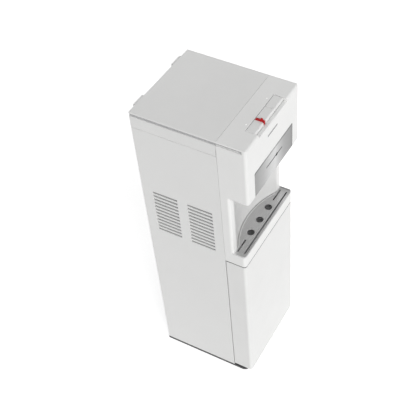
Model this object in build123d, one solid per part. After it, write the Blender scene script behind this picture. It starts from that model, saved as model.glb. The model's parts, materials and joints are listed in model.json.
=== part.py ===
"""Top-loading water dispenser, millimetres, +Z up.

The origin is on the floor under the middle of the plan. The front faces -Y and +X is on the
right of someone who stands in front of it.
"""

from build123d import *
import math
import os

# Overall size
WIDTH = 302.0
DEPTH = 356.0
HEIGHT = 1040.0

# Heights of the main parts of the front, from the top down
HEAD_HEIGHT = 196.0
ALCOVE_HEIGHT = 233.0
BAND_HEIGHT = 41.0
LID_HEIGHT = 51.0
BASE_TOP = 12.0
DOOR_BOTTOM = 15.0

# Depths of the main parts
HEAD_DEPTH = 87.5
LOWER_SETBACK = 20.5
SEAM = 0.6
REAR_REACH = 8.0
BACK_RECESS = 10.0

# Walls and fits
WALL = 2.5
SHEET = 2.0
SEAT_GAP = 0.3
PIN_GAP = 0.05
TOUCH_OVERLAP = 0.5

# Edges of the mouldings
HEAD_CORNER = 19.0
HEAD_TOP_EDGE = 6.5
SIDE_TOP_EDGE = 3.0
LEDGE_EDGE = 2.5
LOWER_CORNER = 9.5
DOOR_BOTTOM_EDGE = 8.0
REAR_CORNER = 2.0

# Grip groove under the top edge of both sides
GROOVE_TOP = 3.5
GROOVE_TALL = 9.0
GROOVE_DEEP = 4.5
GROOVE_START = 13.0

# Alcove wall: two column noses with a concave dish between them
NOSE_DEPTH = 28.0
NOSE_EDGE = 7.5
COLUMN_WIDE = 25.0
DISH_DEEP = 34.5
DISH_BLEND = 24.0
WALL_RISE = 16.0

# Drip tray and grille
GRILLE_SIDE_GAP = 0.5
GRILLE_FRONT_CORNER = 8.0
GRILLE_NOSE_GAP = 0.6
GRILLE_DISH_GAP = 3.5
GRILLE_TALL = 4.0
GRILLE_RIM = 2.5
GRILLE_PLATE = 1.7
GRILLE_SINK = 1.0
TRAY_FLANGE = 1.3
TRAY_INSET = 8.0
TRAY_DEEP = 27.0
TRAY_WALL = 2.0
DRAIN_HOLE = 11.5
SLOT_WIDE = 4.5
LONG_SLOT_INSET = 10.0
LONG_SLOT_END = 15.0
SHORT_SLOT_END = 14.0
SHORT_SLOT_LONG = 49.0

# Faucets
FAUCET_PITCH = 56.0
FAUCET_INSET = 52.5
SPOUT_DROP = 32.0
SPOUT_R = 9.0
SPOUT_TIP_R = 7.5
SPOUT_COLLAR = 16.0
SPOUT_BORE_R = 5.0
FAUCET_FLANGE = 3.0
FAUCET_TALL = 46.0
VALVE_HALF = 11.0
VALVE_EDGE = 3.0
INLET_RISE = 36.0
INLET_R = 4.0
INLET_REACH = 9.0

# Push rods
ROD_INSET = 28.0
ROD_HALF = 2.4
ROD_FIT = 0.1
ROD_BORE_DEEP = 28.0
ROD_SEAT_GAP = 6.0
ROD_CAP_HALF = 5.0
ROD_CAP = 5.0

# Push keys
KEY_RECESS_HALF = 81.0
KEY_RECESS_DEPTH = 40.0
LEDGE_DEPTH = 10.5
LEDGE_DROP = 10.0
KEY_GAP = 1.0
KEY_REAR_GAP = 1.5
KEY_EDGE = 3.0
KEY_CORNER = 1.2
KEY_SKIRT = 16.0
KEY_SPLIT_LEFT = -22.7
KEY_SPLIT_RIGHT = 29.5
KEY_PIVOT_INSET = 44.0
KEY_PIVOT_DROP = 10.0
PIVOT_PIN_R = 1.5
KEY_EAR = 4.0
KEY_EAR_R = 4.0
PRESSER_HALF = 2.0
PRESSER_GAP = 0.4
RIB = 3.0

# Child lock, a slide on the hot key
LOCK_X = -28.0
LOCK_WIDE = 8.0
LOCK_TRAVEL = 2.0
LOCK_CAP = 1.5
LOCK_LIFT = 0.2
LOCK_HOOK = 2.0
LOCK_HOOK_DROP = 8.7
LOCK_RIB = 4.0
LOCK_NUB = 5.0

# Control panel in the head's front
PANEL_HALF = 112.0
PANEL_TALL = 86.6
PANEL_THICK = 2.0
PANEL_CORNER = 5.0
PANEL_GAP = 0.3
STATUS_LEFT = -46.0
STATUS_RIGHT = 48.0
STATUS_RISE = 49.5
STATUS_TALL = 2.4
STATUS_DEEP = 0.6
DOT_X = 15.0
DOT_DROP = 2.0
DOT_R = 2.2
LAMP_X = 58.0
LAMP_INSET = 49.0
LAMP_R = 2.0
LAMP_GAP = 0.1
LAMP_PROUD = 0.3
LAMP_LONG = 6.0
LAMP_SIDES = 12

# Lid and its hinges
LID_TOP = 3.0
LID_REAR_LIP = 17.0
LID_RELIEF = 1.5
HINGE_X = 95.0
HINGE_DROP = 24.0
HINGE_R = 5.5
HINGE_WIDE = 42.0
HINGE_LEAF = 21.4
HINGE_EAR_PROUD = 7.8
HINGE_EAR_TOP = 1.5
HINGE_EAR_EDGE = 1.5
HINGE_EAR_TALL = 12.0
LID_PIN_R = 2.0
BRACKET_LEAF = 3.0
BRACKET_TALL = 26.0

# Bottle well
DECK = 2.5
DECK_FLANGE = 12.0
WELL_MARGIN = 6.25
WELL_RISE = 24.0
WELL_LIP = 8.0
THROAT_R = 34.0
THROAT_DROP = 40.0
PAD_TALL = 5.0
PAD_LONG = 24.0
PAD_COUNT = 8
PROBE_R = 7.0
PROBE_BORE_R = 4.5
PROBE_RISE = 34.0
PROBE_FLANGE = 3.0

# Cold tank, foam, hot tank
HOSE_ROOM = 17.0
COLD_TALL = 142.0
TANK_EDGE = 14.0
FOAM = 24.0
FOAM_FLOOR = 20.0
POST_HALF = 4.5
POST_INSET = 12.0
POST_GAP = 12.0
POST_REAR_X = -30.0
HOT_SIDE = 81.0
HOT_BACK = 98.0
HOT_R = 48.0
HOT_TALL = 142.0
HOT_LEG = 17.0
LEG_HALF = 4.0
HEATER_R = 13.0
HEATER_HEAD = 8.0
HEATER_RISE = 34.0
TERMINAL_SPREAD = 5.0
TERMINAL_LONG = 8.0
TERMINAL_THICK = 1.0
TERMINAL_HALF = 3.0
THERMOSTAT_HALF = 6.5
THERMOSTAT_THICK = 4.0
THERMOSTAT_RISES = (60.0, 84.0)
SPIGOT_R = 4.0
SPIGOT_LONG = 4.0
SPIGOT_SPACE = 22.0
TUBE_R = 5.0

# Mid shelf, compressor and condenser
SHELF_RISE = 16.0
SHELF_FLANGE = 14.0
COMP_SIDE = 89.0
COMP_BACK = 70.0
COMP_R = 54.0
COMP_TALL = 128.0
COMP_FOOT = 11.0
COMP_DOME = 23.0
COMP_PLATE_X = 132.0
COMP_PLATE_Y = 108.0
COMP_PLATE = 3.0
MOUNT_R = 8.0
MOUNT_TALL = 12.0
COIL_R = 2.5
COIL_RUNS = 10
COIL_PITCH = 48.0
COIL_HALF = 112.0
COIL_BOTTOM = 170.0
COIL_STANDOFF = 5.5
WIRE_R = 0.8
WIRE_COUNT = 19
WIRE_GAP = 0.1
LINE_R = 3.0
TUBE_SIDES = 6
DRIER_R = 9.0
DRIER_TALL = 70.0
DRIER_SIDE = 70.0
DRIER_INSET = 24.0

# Vents in the side panels
VENT_COUNT = 12
VENT_PITCH = 14.0
VENT_SLOT = 7.5
VENT_RISE = 14.0
VENT_INSET = 30.4
VENT_REAR = 35.8
VENT_SPACE = 32.7
LOUVRE = 1.4
LOUVRE_DEEP = 7.0
LOUVRE_RISE = 5.5
LOUVRE_RAIL = 4.0

# Rear of the cabinet
REAR_FLANGE = 12.0
BACK_TOP_DROP = 6.0
LID_CLEAR = 1.0
SWITCH_X = 104.0
SWITCH_PITCH = 30.0
SWITCH_DROP = 49.0
ROCKER_WIDE = 11.0
ROCKER_TALL = 20.0
ROCKER_TILT = 8.0
ROCKER_GAP = 0.8
FRAME_EDGE = 3.0
ROCKER_PIN_R = 1.5
DRAIN_SIDE = 42.0
DRAIN_RISE = 36.0
DRAIN_R = 9.0
GLAND_X = -104.0
GLAND_RISE = 80.0
GLAND_R = 7.0
SCREW_R = 4.5
SCREW_TALL = 2.4
SCREW_COUNT = 5
SCREW_LOW = 48.0
SCREW_HIGH = 30.0
VESSEL_SIDES = 28

# Storage cabinet and door
LINER_SIDE_GAP = 8.2
LINER_WALL = 2.0
LINER_BOTTOM = 24.0
LINER_TOP_DROP = 12.0
LINER_BACK_GAP = 8.0
FLANGE_TOP_GAP = 0.3
DOOR_TOP_GAP = 3.5
DOOR_REAR_GAP = 2.5
DOOR_AXIS_X = 5.5
DOOR_AXIS_Y = 6.0
DOOR_PIN_R = 2.5
DOOR_BOSS = 6.0
DOOR_BOSS_TALL = 15.0
FIELD_SIDE = 30.0
FIELD_END = 40.0
FIELD_CHAMFER = 12.0
GASKET = 6.0
GASKET_TALL = 2.1
GASKET_INSET = 3.5
CATCH_HALF = 20.0
CATCH_TALL = 10.0
CATCH_DEEP = 18.0
STRIKE_INSET = 2.0

# Base
FOOT_TALL = 2.0
FOOT_R = 15.0
FOOT_X = 122.0
FOOT_FRONT = 60.0
FOOT_REAR = 38.0
BASE_SETBACK = 15.0
BASE_CORNER = 24.0

# Circuit board behind the control panel, and the parts on it as middle and width
BOARD_RISE = 18.0
BOARD_TALL = 46.0
BOARD_HALF = 60.0
BOARD_THICK = 1.6
BOARD_POST = 3.0
BOARD_POST_HALF = 2.0
BOARD_POST_INSET = 6.0
BOARD_PARTS = ((-30.0, 22.0), (4.0, 12.0), (34.0, 16.0))
BOARD_PARTS_RISE = 12.0
BOARD_PARTS_TALL = 18.0
BOARD_PARTS_DEEP = 6.4

# Planes that the parts share
HALF = WIDTH / 2
FRONT = -DEPTH / 2
REAR = DEPTH / 2
HEAD_REAR = FRONT + HEAD_DEPTH
CABINET_FRONT = HEAD_REAR + SEAM
LOWER_FRONT = FRONT + LOWER_SETBACK
CABINET_REAR = REAR - REAR_REACH
BACK_FACE = CABINET_REAR - BACK_RECESS
BACK_INNER = BACK_FACE - SHEET
INNER_HALF = HALF - WALL
FIT_HALF = INNER_HALF - SEAT_GAP

HEAD_BOTTOM = HEIGHT - HEAD_HEIGHT
BAND_TOP = HEAD_BOTTOM - ALCOVE_HEIGHT
BAND_BOTTOM = BAND_TOP - BAND_HEIGHT
LID_BOTTOM = HEIGHT - LID_HEIGHT
PANEL_TOP = LID_BOTTOM - LID_CLEAR
SHELF_TOP = BAND_BOTTOM + SHELF_RISE
GROOVE_Z = HEIGHT - GROOVE_TOP - GROOVE_TALL
DOOR_REAR = CABINET_FRONT - DOOR_REAR_GAP
DOOR_TOP = BAND_BOTTOM - DOOR_TOP_GAP
NOSE = HEAD_REAR - NOSE_DEPTH
DISH = NOSE + DISH_DEEP
DISH_HALF = HALF - COLUMN_WIDE
DISH_R = (DISH_HALF**2 + DISH_DEEP**2) / (2 * DISH_DEEP)
DISH_CENTRE = DISH - DISH_R

LEDGE_TOP = HEIGHT - LEDGE_DROP
LEDGE_REAR = FRONT + LEDGE_DEPTH
RECESS_REAR = FRONT + KEY_RECESS_DEPTH
KEY_FRONT = LEDGE_REAR + KEY_GAP
KEY_REAR = RECESS_REAR - KEY_REAR_GAP
KEY_PIVOT_Y = FRONT + KEY_PIVOT_INSET
KEY_PIVOT_Z = HEIGHT - KEY_PIVOT_DROP
ROD_Y = FRONT + ROD_INSET
SPOUT_Y = FRONT + FAUCET_INSET
PLATE_TOP = HEAD_BOTTOM + 2 * WALL
ROD_TOP = KEY_PIVOT_Z - 7.0
FAUCETS = {"hot": -FAUCET_PITCH, "room": 0.0, "cold": FAUCET_PITCH}
KEYS = {
    "hot": (-KEY_RECESS_HALF + KEY_GAP, KEY_SPLIT_LEFT - KEY_GAP / 2),
    "room": (KEY_SPLIT_LEFT + KEY_GAP / 2, KEY_SPLIT_RIGHT - KEY_GAP / 2),
    "cold": (KEY_SPLIT_RIGHT + KEY_GAP / 2, KEY_RECESS_HALF - KEY_GAP),
}

WELL_Y = (HEAD_REAR + BACK_INNER) / 2
WELL_R = (BACK_INNER - HEAD_REAR) / 2 - WELL_MARGIN
DECK_TOP = PANEL_TOP + DECK
THROAT_Z = PANEL_TOP - THROAT_DROP
TANK_TOP = THROAT_Z - PROBE_FLANGE - 1.0
TANK_BOTTOM = TANK_TOP - COLD_TALL
FOAM_BOTTOM = TANK_BOTTOM - FOAM_FLOOR
FOAM_HALF = WELL_Y - DISH - WALL - HOSE_ROOM
COLD_R = FOAM_HALF - FOAM - SEAT_GAP
SPIGOT_FRONT = WELL_Y - FOAM_HALF - SPIGOT_LONG
SPIGOT_XS = (0.0, SPIGOT_SPACE)
HOT_X = HOT_SIDE - HALF
HOT_Y = BACK_INNER - HOT_BACK
HOT_BOTTOM = SHELF_TOP + HOT_LEG
SPIGOT_Z = PLATE_TOP + INLET_RISE
COMP_X = HALF - COMP_SIDE
COMP_Y = BACK_INNER - COMP_BACK
LINE_Z = SHELF_TOP + MOUNT_TALL + COMP_TALL + 12.0
LINE_START = (COMP_X - 20.0, COMP_Y, LINE_Z - 30.0, LINE_Z - 8.0)
HINGE_Y = CABINET_REAR + REAR_REACH - HINGE_R
HINGE_Z = HEIGHT - HINGE_DROP
COIL_Y = BACK_FACE + COIL_STANDOFF + COIL_R
DRIER_X = COMP_X - DRIER_SIDE
DRIER_Y = BACK_INNER - DRIER_INSET
DRAIN_X = COMP_X + DRAIN_SIDE
DRAIN_Z = SHELF_TOP + DRAIN_RISE
GLAND_Z = SHELF_TOP + GLAND_RISE
SWITCH_Z = LID_BOTTOM - SWITCH_DROP
VENT_LONG = CABINET_REAR - VENT_REAR - CABINET_FRONT - VENT_INSET
VENT_WIDE = (VENT_LONG - VENT_SPACE) / 2

DOOR_HINGE_X = HALF - DOOR_AXIS_X
DOOR_HINGE_Y = DOOR_REAR - DOOR_AXIS_Y
LINER_HALF = FIT_HALF - LINER_SIDE_GAP
LINER_TOP = BAND_BOTTOM - LINER_TOP_DROP
FLANGE_TOP = BAND_BOTTOM - FLANGE_TOP_GAP
FLANGE_BACK = CABINET_FRONT + LINER_WALL
BASE_BOTTOM = FOOT_TALL


def block(x0, x1, y0, y1, z0, z1):
    """A box between two corners."""
    middle = Pos((x0 + x1) / 2, (y0 + y1) / 2, (z0 + z1) / 2)
    return middle * Box(x1 - x0, y1 - y0, z1 - z0)


def prism(face, z0, z1):
    """A plan outline raised from z0 to z1."""
    return Pos(0, 0, z0) * extrude(face, z1 - z0)


def side_prism(points, x0, x1, radii=None):
    """A profile of (y, z) points drawn across from x0 to x1, with some corners rounded."""
    profile = make_face(Polyline(*points, close=True))
    for (y, z), radius in (radii or {}).items():
        corner = nearest_vertex(profile, y, z)
        profile = fillet([corner], radius)
    placed = Plane(origin=(x0, 0, 0), x_dir=(0, 1, 0), z_dir=(1, 0, 0)) * profile
    return extrude(placed, x1 - x0)


def nearest_vertex(face, x, y):
    """The corner of a flat outline that lies nearest to a point."""
    return min(face.vertices(), key=lambda v: (v.X - x) ** 2 + (v.Y - y) ** 2)


def upright(x, y, z0, z1, radius):
    """A vertical cylinder."""
    return Pos(x, y, (z0 + z1) / 2) * Cylinder(radius, z1 - z0)


def across(x0, x1, y, z, radius):
    """A cylinder along X."""
    return Pos((x0 + x1) / 2, y, z) * Rot(0, 90, 0) * Cylinder(radius, x1 - x0)


def turned(x, y, points):
    """A solid of revolution about a vertical axis, from (radius, height) points."""
    profile = make_face(Polyline(*points, close=True))
    return Pos(x, y, 0) * revolve(Plane.XZ * profile, Axis.Z)


def vessel(x, y, points):
    """A closed many-sided form about a vertical axis, through (radius, height) sections."""
    shrink = math.cos(math.pi / VESSEL_SIDES)
    form = None
    for low, high in zip(points, points[1:]):
        wide, narrow = (low, high) if low[0] >= high[0] else (high, low)
        rise = high[1] - low[1]
        lean = math.degrees(math.atan2((wide[0] - narrow[0]) * shrink, rise))
        stage = extrude(RegularPolygon(wide[0], VESSEL_SIDES), rise, taper=lean)
        if wide is not low:
            stage = mirror(stage, Plane.XY)
        stage = Pos(x, y, wide[1]) * stage
        form = stage if form is None else form + stage
    return form


def post(x, y, z0, z1, half):
    """A square upright."""
    return block(x - half, x + half, y - half, y + half, z0, z1)


def nut_form(x, z, y0, y1, radius, sides=6):
    """A prism with equal sides along Y, such as a nut or a screw head."""
    return front_prism(Pos(x, z) * RegularPolygon(radius, sides), y0, y1)


def tube(points, radius):
    """A tube with a six-sided section and mitred corners."""
    path = Polyline(*points)
    start = Plane(origin=path @ 0, z_dir=path % 0)
    return sweep(start * RegularPolygon(radius, TUBE_SIDES), path=path, transition=Transition.RIGHT)


def front_rounded(half, front, rear, corner):
    """A plan outline, square at the back and rounded at both front corners."""
    plan = make_face(Polyline((-half, front), (half, front), (half, rear), (-half, rear), close=True))
    corners = [nearest_vertex(plan, -half, front), nearest_vertex(plan, half, front)]
    return fillet(corners, corner)


def alcove_region(nose_gap, dish_gap, side_gap, rear):
    """All that lies behind the alcove wall's front, moved forward by the given gaps."""
    half = HALF + side_gap
    nose = NOSE - nose_gap
    radius = DISH_R - dish_gap
    edge = math.sqrt(radius**2 - (nose - DISH_CENTRE) ** 2)
    right = Polyline((half, rear), (half, nose), (edge, nose))
    dish = ThreePointArc((edge, nose), (0, DISH_CENTRE + radius), (-edge, nose))
    left = Polyline((-edge, nose), (-half, nose), (-half, rear), (half, rear))
    region = make_face([*right.edges(), *dish.edges(), *left.edges()])
    outer = [nearest_vertex(region, half, nose), nearest_vertex(region, -half, nose)]
    region = fillet(outer, NOSE_EDGE + nose_gap)
    inner = [nearest_vertex(region, edge, nose), nearest_vertex(region, -edge, nose)]
    return fillet(inner, DISH_BLEND + nose_gap)


def head_block(inset, rear, bottom):
    """The head's outer form, or the same form a wall further in."""
    half = HALF - inset
    front = FRONT + inset
    top = HEIGHT - inset
    plan = front_rounded(half, front, rear, HEAD_CORNER - inset)
    section = side_prism(
        [(front, bottom), (rear, bottom), (rear, top), (front, top)],
        -half,
        half,
        {(front, top): HEAD_TOP_EDGE - inset},
    )
    profile = top_rounded(half, bottom, top, max(SIDE_TOP_EDGE - inset, 0.5))
    return prism(plan, bottom, top) & section & front_prism(profile, front - 1, rear + 1)


def top_rounded(half, bottom, top, radius):
    """A front outline with both upper corners rounded."""
    outline = make_face(
        Polyline((-half, bottom), (half, bottom), (half, top), (-half, top), close=True)
    )
    corners = [nearest_vertex(outline, -half, top), nearest_vertex(outline, half, top)]
    return fillet(corners, radius)


def grip_groove(front, rear, deep, margin):
    """The groove under the top edge on both sides, or the thicker wall behind it."""
    z0 = GROOVE_Z - margin
    z1 = GROOVE_Z + GROOVE_TALL + margin
    right = block(HALF - deep, HALF + 1, front, rear, z0, z1)
    return right + mirror(right, Plane.YZ)


def tray_outline(inset):
    """The plan of the drip grille, or the same plan a step further in."""
    half = HALF - GRILLE_SIDE_GAP - inset
    front = LOWER_FRONT + GRILLE_SIDE_GAP + inset
    plan = front_rounded(half, front, HEAD_REAR + DISH_DEEP, GRILLE_FRONT_CORNER - inset / 2)
    behind = alcove_region(
        GRILLE_NOSE_GAP + inset, GRILLE_DISH_GAP + inset, GRILLE_NOSE_GAP + inset, REAR
    )
    return plan - behind


def key_recess():
    """The step in the head's top edge that the keys lie in."""
    step = block(
        -KEY_RECESS_HALF, KEY_RECESS_HALF, FRONT - 1, RECESS_REAR, LEDGE_TOP, HEIGHT + 1
    )
    way = block(
        -KEY_RECESS_HALF, KEY_RECESS_HALF, LEDGE_REAR, RECESS_REAR, LEDGE_TOP - 2 * WALL, HEIGHT
    )
    return step + way


def panel_face(gap):
    """The control panel's outline in the head's front, seen from the front."""
    half = PANEL_HALF - gap
    z1 = HEAD_BOTTOM + PANEL_TALL - gap
    outline = make_face(
        Polyline((-half, HEAD_BOTTOM), (half, HEAD_BOTTOM), (half, z1), (-half, z1), close=True)
    )
    tops = [nearest_vertex(outline, -half, z1), nearest_vertex(outline, half, z1)]
    return fillet(tops, PANEL_CORNER)


def front_prism(face, y0, y1):
    """An outline of (x, z) points drawn back from y0 to y1."""
    return extrude(Plane(origin=(0, y0, 0), x_dir=(1, 0, 0), z_dir=(0, -1, 0)) * face, y0 - y1)


def head_shell():
    """The hollow head with its key recess, panel pocket, grooves and lamp holes."""
    cavity = head_block(WALL, HEAD_REAR - WALL, HEAD_BOTTOM - 1)
    cavity += block(-INNER_HALF, INNER_HALF, RECESS_REAR, HEAD_REAR + 1, HEAD_BOTTOM - 1, PANEL_TOP)
    side = KEY_RECESS_HALF + WALL
    cavity -= block(-side, side, FRONT, RECESS_REAR, LEDGE_TOP - WALL, HEIGHT)
    cavity -= grip_groove(FRONT + GROOVE_START - WALL, REAR, GROOVE_DEEP + WALL, WALL)
    backing = PANEL_HALF + 2 * WALL
    backing_rear = FRONT + PANEL_THICK + WALL
    backing_top = HEAD_BOTTOM + PANEL_TALL + 2 * WALL
    cavity -= block(-backing, backing, FRONT, backing_rear, HEAD_BOTTOM - 2, backing_top)
    shell = head_block(0, HEAD_REAR, HEAD_BOTTOM) - cavity
    shell -= key_recess()
    shell -= grip_groove(FRONT + GROOVE_START, REAR, GROOVE_DEEP, 0)
    shell -= front_prism(panel_face(0), FRONT - 1, FRONT + PANEL_THICK)
    for x in (-LAMP_X, LAMP_X):
        hole = Pos(x, FRONT + LAMP_INSET) * RegularPolygon(LAMP_R + LAMP_GAP, LAMP_SIDES)
        shell -= prism(hole, HEIGHT - 2 * WALL, HEIGHT + 1)
    return shell


def pivot_ribs():
    """Ribs under the head's top, each with a notch that the keys' pivot pin snaps up into."""
    top = HEIGHT - WALL + TOUCH_OVERLAP
    bottom = KEY_PIVOT_Z - KEY_EAR_R
    front = RECESS_REAR + TOUCH_OVERLAP
    rear = KEY_PIVOT_Y + KEY_EAR_R
    ribs = []
    places = (
        -KEY_RECESS_HALF - RIB,
        KEY_SPLIT_LEFT - RIB / 2,
        KEY_SPLIT_RIGHT - RIB / 2,
        KEY_RECESS_HALF,
    )
    for x in places:
        rib = block(x, x + RIB, front, rear, bottom, top)
        half = PIVOT_PIN_R + PIN_GAP
        notch = block(x, x + RIB, KEY_PIVOT_Y - half, KEY_PIVOT_Y + half, bottom, KEY_PIVOT_Z + half)
        ribs.append(rib - notch)
    return ribs


def alcove_wall():
    """The columns and the concave wall between them, one wall thick."""
    outer = alcove_region(0, 0, 0, REAR)
    inner = alcove_region(-WALL, -WALL, -WALL, REAR + 1)
    plan = outer - inner
    edge = DISH_HALF + WALL
    for x0, x1 in ((-HALF - 1, -edge), (edge, HALF + 1)):
        plan -= make_face(
            Polyline((x0, HEAD_REAR), (x1, HEAD_REAR), (x1, REAR + 2), (x0, REAR + 2), close=True)
        )
    return prism(plan, BAND_TOP - WALL, HEAD_BOTTOM + WALL_RISE)


def band_shell():
    """The band under the alcove, with the opening that the drip tray hangs in."""
    outer = prism(front_rounded(HALF, LOWER_FRONT, HEAD_REAR, LOWER_CORNER), BAND_BOTTOM, BAND_TOP)
    hollow = front_rounded(INNER_HALF, LOWER_FRONT + WALL, HEAD_REAR + 1, LOWER_CORNER - WALL)
    shell = outer - prism(hollow, BAND_BOTTOM + WALL, BAND_TOP - WALL)
    deck = front_rounded(DISH_HALF, LOWER_FRONT + WALL, DISH + 2 * WALL, 1.0)
    deck -= alcove_region(-WALL, -WALL, -WALL, REAR)
    shell += prism(deck, BAND_TOP - WALL, BAND_TOP)
    shell -= prism(tray_outline(TRAY_INSET - SEAT_GAP), BAND_TOP - 2 * WALL, BAND_TOP + 1)
    boss = block(
        DOOR_HINGE_X - DOOR_BOSS,
        HALF - WALL + TOUCH_OVERLAP,
        DOOR_HINGE_Y - DOOR_BOSS,
        HEAD_REAR,
        BAND_BOTTOM,
        BAND_BOTTOM + 3 * WALL,
    )
    shell += boss
    return shell - upright(
        DOOR_HINGE_X, DOOR_HINGE_Y, BAND_BOTTOM - 1, BAND_BOTTOM + 2 * WALL, DOOR_PIN_R + PIN_GAP
    )


def front_housing():
    """One moulding: head, columns, concave alcove wall and band."""
    housing = head_shell() + alcove_wall() + band_shell()
    for rib in pivot_ribs():
        housing += rib
    ledge_front = [
        e
        for e in housing.edges().filter_by(Axis.X)
        if abs(e.center().Y - FRONT) < 0.01 and abs(e.center().Z - LEDGE_TOP) < 0.01
    ]
    return fillet(ledge_front, LEDGE_EDGE)


def faucet_plate():
    """The floor of the head, with a hole for each spout."""
    fit = WALL + SEAT_GAP
    plan = front_rounded(HALF - fit, FRONT + PANEL_THICK + WALL + SEAT_GAP, REAR, HEAD_CORNER - fit)
    plan -= alcove_region(SEAT_GAP, SEAT_GAP, SEAT_GAP, REAR)
    plate = prism(plan, PLATE_TOP - WALL, PLATE_TOP)
    hole = RegularPolygon(SPOUT_R + SEAT_GAP, LAMP_SIDES, major_radius=False)
    for x in FAUCETS.values():
        plate -= prism(Pos(x, SPOUT_Y) * hole, HEAD_BOTTOM, PLATE_TOP + 1)
    return plate


def control_panel():
    """The brushed panel in the head's front, with pockets for its status line and dot."""
    panel = front_prism(panel_face(PANEL_GAP), FRONT, FRONT + PANEL_THICK)
    panel -= status_marks()
    return panel


def status_marks():
    """The status line and the dot under it, sunk flush in the control panel."""
    z = HEAD_BOTTOM + STATUS_RISE
    line = block(
        STATUS_LEFT, STATUS_RIGHT, FRONT, FRONT + STATUS_DEEP, z - STATUS_TALL / 2, z + STATUS_TALL / 2
    )
    dot = nut_form(DOT_X, z - DOT_DROP, FRONT, FRONT + STATUS_DEEP, DOT_R, 12)
    return line + dot


def status_lamps():
    """Two light pipes in the head's top."""
    z1 = HEIGHT + LAMP_PROUD
    lamp = RegularPolygon(LAMP_R, LAMP_SIDES)
    return [
        prism(Pos(x, FRONT + LAMP_INSET) * lamp, z1 - LAMP_LONG, z1) for x in (-LAMP_X, LAMP_X)
    ]


def control_board():
    """The circuit board behind the control panel, on four posts."""
    wall = FRONT + PANEL_THICK + WALL
    face = wall + BOARD_POST
    rear = face + BOARD_THICK
    z0 = HEAD_BOTTOM + BOARD_RISE
    z1 = z0 + BOARD_TALL
    board = block(-BOARD_HALF, BOARD_HALF, face, rear, z0, z1)
    post_x = BOARD_HALF - BOARD_POST_INSET
    half = BOARD_POST_HALF
    for x in (-post_x, post_x):
        for z in (z0 + BOARD_POST_INSET, z1 - BOARD_POST_INSET):
            board += block(x - half, x + half, wall, face, z - half, z + half)
    low = z0 + BOARD_PARTS_RISE
    high = low + BOARD_PARTS_TALL
    for x, wide in BOARD_PARTS:
        board += block(x - wide / 2, x + wide / 2, rear, rear + BOARD_PARTS_DEEP, low, high)
    return board


def drip_tray():
    """The pan that hangs in the band by its flange."""
    bottom = BAND_TOP - TRAY_DEEP
    pan = prism(tray_outline(TRAY_INSET), bottom, BAND_TOP + TRAY_FLANGE)
    pan += prism(tray_outline(GRILLE_RIM + SEAT_GAP), BAND_TOP, BAND_TOP + TRAY_FLANGE)
    return pan - prism(tray_outline(TRAY_INSET + TRAY_WALL), bottom + TRAY_WALL, BAND_TOP + 5)


def drip_grille():
    """The metal grille: a rim that turns down, a sunk plate, three holes and three slots."""
    top = BAND_TOP + GRILLE_TALL
    outer = tray_outline(0)
    plate_z = BAND_TOP + TRAY_FLANGE
    grille = prism(outer, BAND_TOP + SEAT_GAP, top)
    grille -= prism(tray_outline(GRILLE_RIM), plate_z + GRILLE_PLATE, top + 1)
    grille -= prism(tray_outline(GRILLE_RIM), BAND_TOP, plate_z)
    for x in FAUCETS.values():
        grille -= upright(x, SPOUT_Y, BAND_TOP, top, DRAIN_HOLE)
    y = LOWER_FRONT + LONG_SLOT_INSET
    long_end = HALF - LONG_SLOT_END
    short_end = HALF - SHORT_SLOT_END
    short_start = short_end - SHORT_SLOT_LONG
    grille -= slot(-long_end, long_end, y, top)
    grille -= slot(short_start, short_end, SPOUT_Y, top)
    grille -= slot(-short_end, -short_start, SPOUT_Y, top)
    return grille


def slot(x0, x1, y, top):
    """The cutter of one slot along X."""
    return block(x0, x1, y - SLOT_WIDE / 2, y + SLOT_WIDE / 2, BAND_TOP, top)


def faucet(x):
    """A valve block over the head's floor, with its inlet and the spout that passes through."""
    seat = PLATE_TOP
    top = seat + FAUCET_TALL
    tip = HEAD_BOTTOM - SPOUT_DROP
    collar = HEAD_BOTTOM - SPOUT_COLLAR
    spout = upright(x, SPOUT_Y, collar, seat + FAUCET_FLANGE, SPOUT_R)
    spout += upright(x, SPOUT_Y, tip, collar, SPOUT_TIP_R)
    plan = make_face(
        Polyline(
            (x - VALVE_HALF, ROD_Y - VALVE_HALF),
            (x + VALVE_HALF, ROD_Y - VALVE_HALF),
            (x + VALVE_HALF, SPOUT_Y + VALVE_HALF + FAUCET_FLANGE),
            (x - VALVE_HALF, SPOUT_Y + VALVE_HALF + FAUCET_FLANGE),
            close=True,
        )
    )
    valve = prism(chamfer(plan.vertices(), VALVE_EDGE), seat, top)
    inlet_start = SPOUT_Y + VALVE_HALF + FAUCET_FLANGE
    inlet = nut_form(x, seat + INLET_RISE, inlet_start, inlet_start + INLET_REACH, INLET_R)
    body = spout + valve + inlet
    bore = Pos(x, SPOUT_Y) * RegularPolygon(SPOUT_BORE_R, LAMP_SIDES)
    body -= prism(bore, tip - 1, seat + FAUCET_TALL / 4)
    return body - post(x, ROD_Y, top - ROD_BORE_DEEP, top + 1, ROD_HALF + ROD_FIT)


def push_rod(x):
    """The rod that carries a key's push down into its valve."""
    bottom = PLATE_TOP + FAUCET_TALL - ROD_BORE_DEEP + ROD_SEAT_GAP
    rod = post(x, ROD_Y, bottom, ROD_TOP, ROD_HALF)
    return rod + post(x, ROD_Y, ROD_TOP - ROD_CAP, ROD_TOP, ROD_CAP_HALF)


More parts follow.
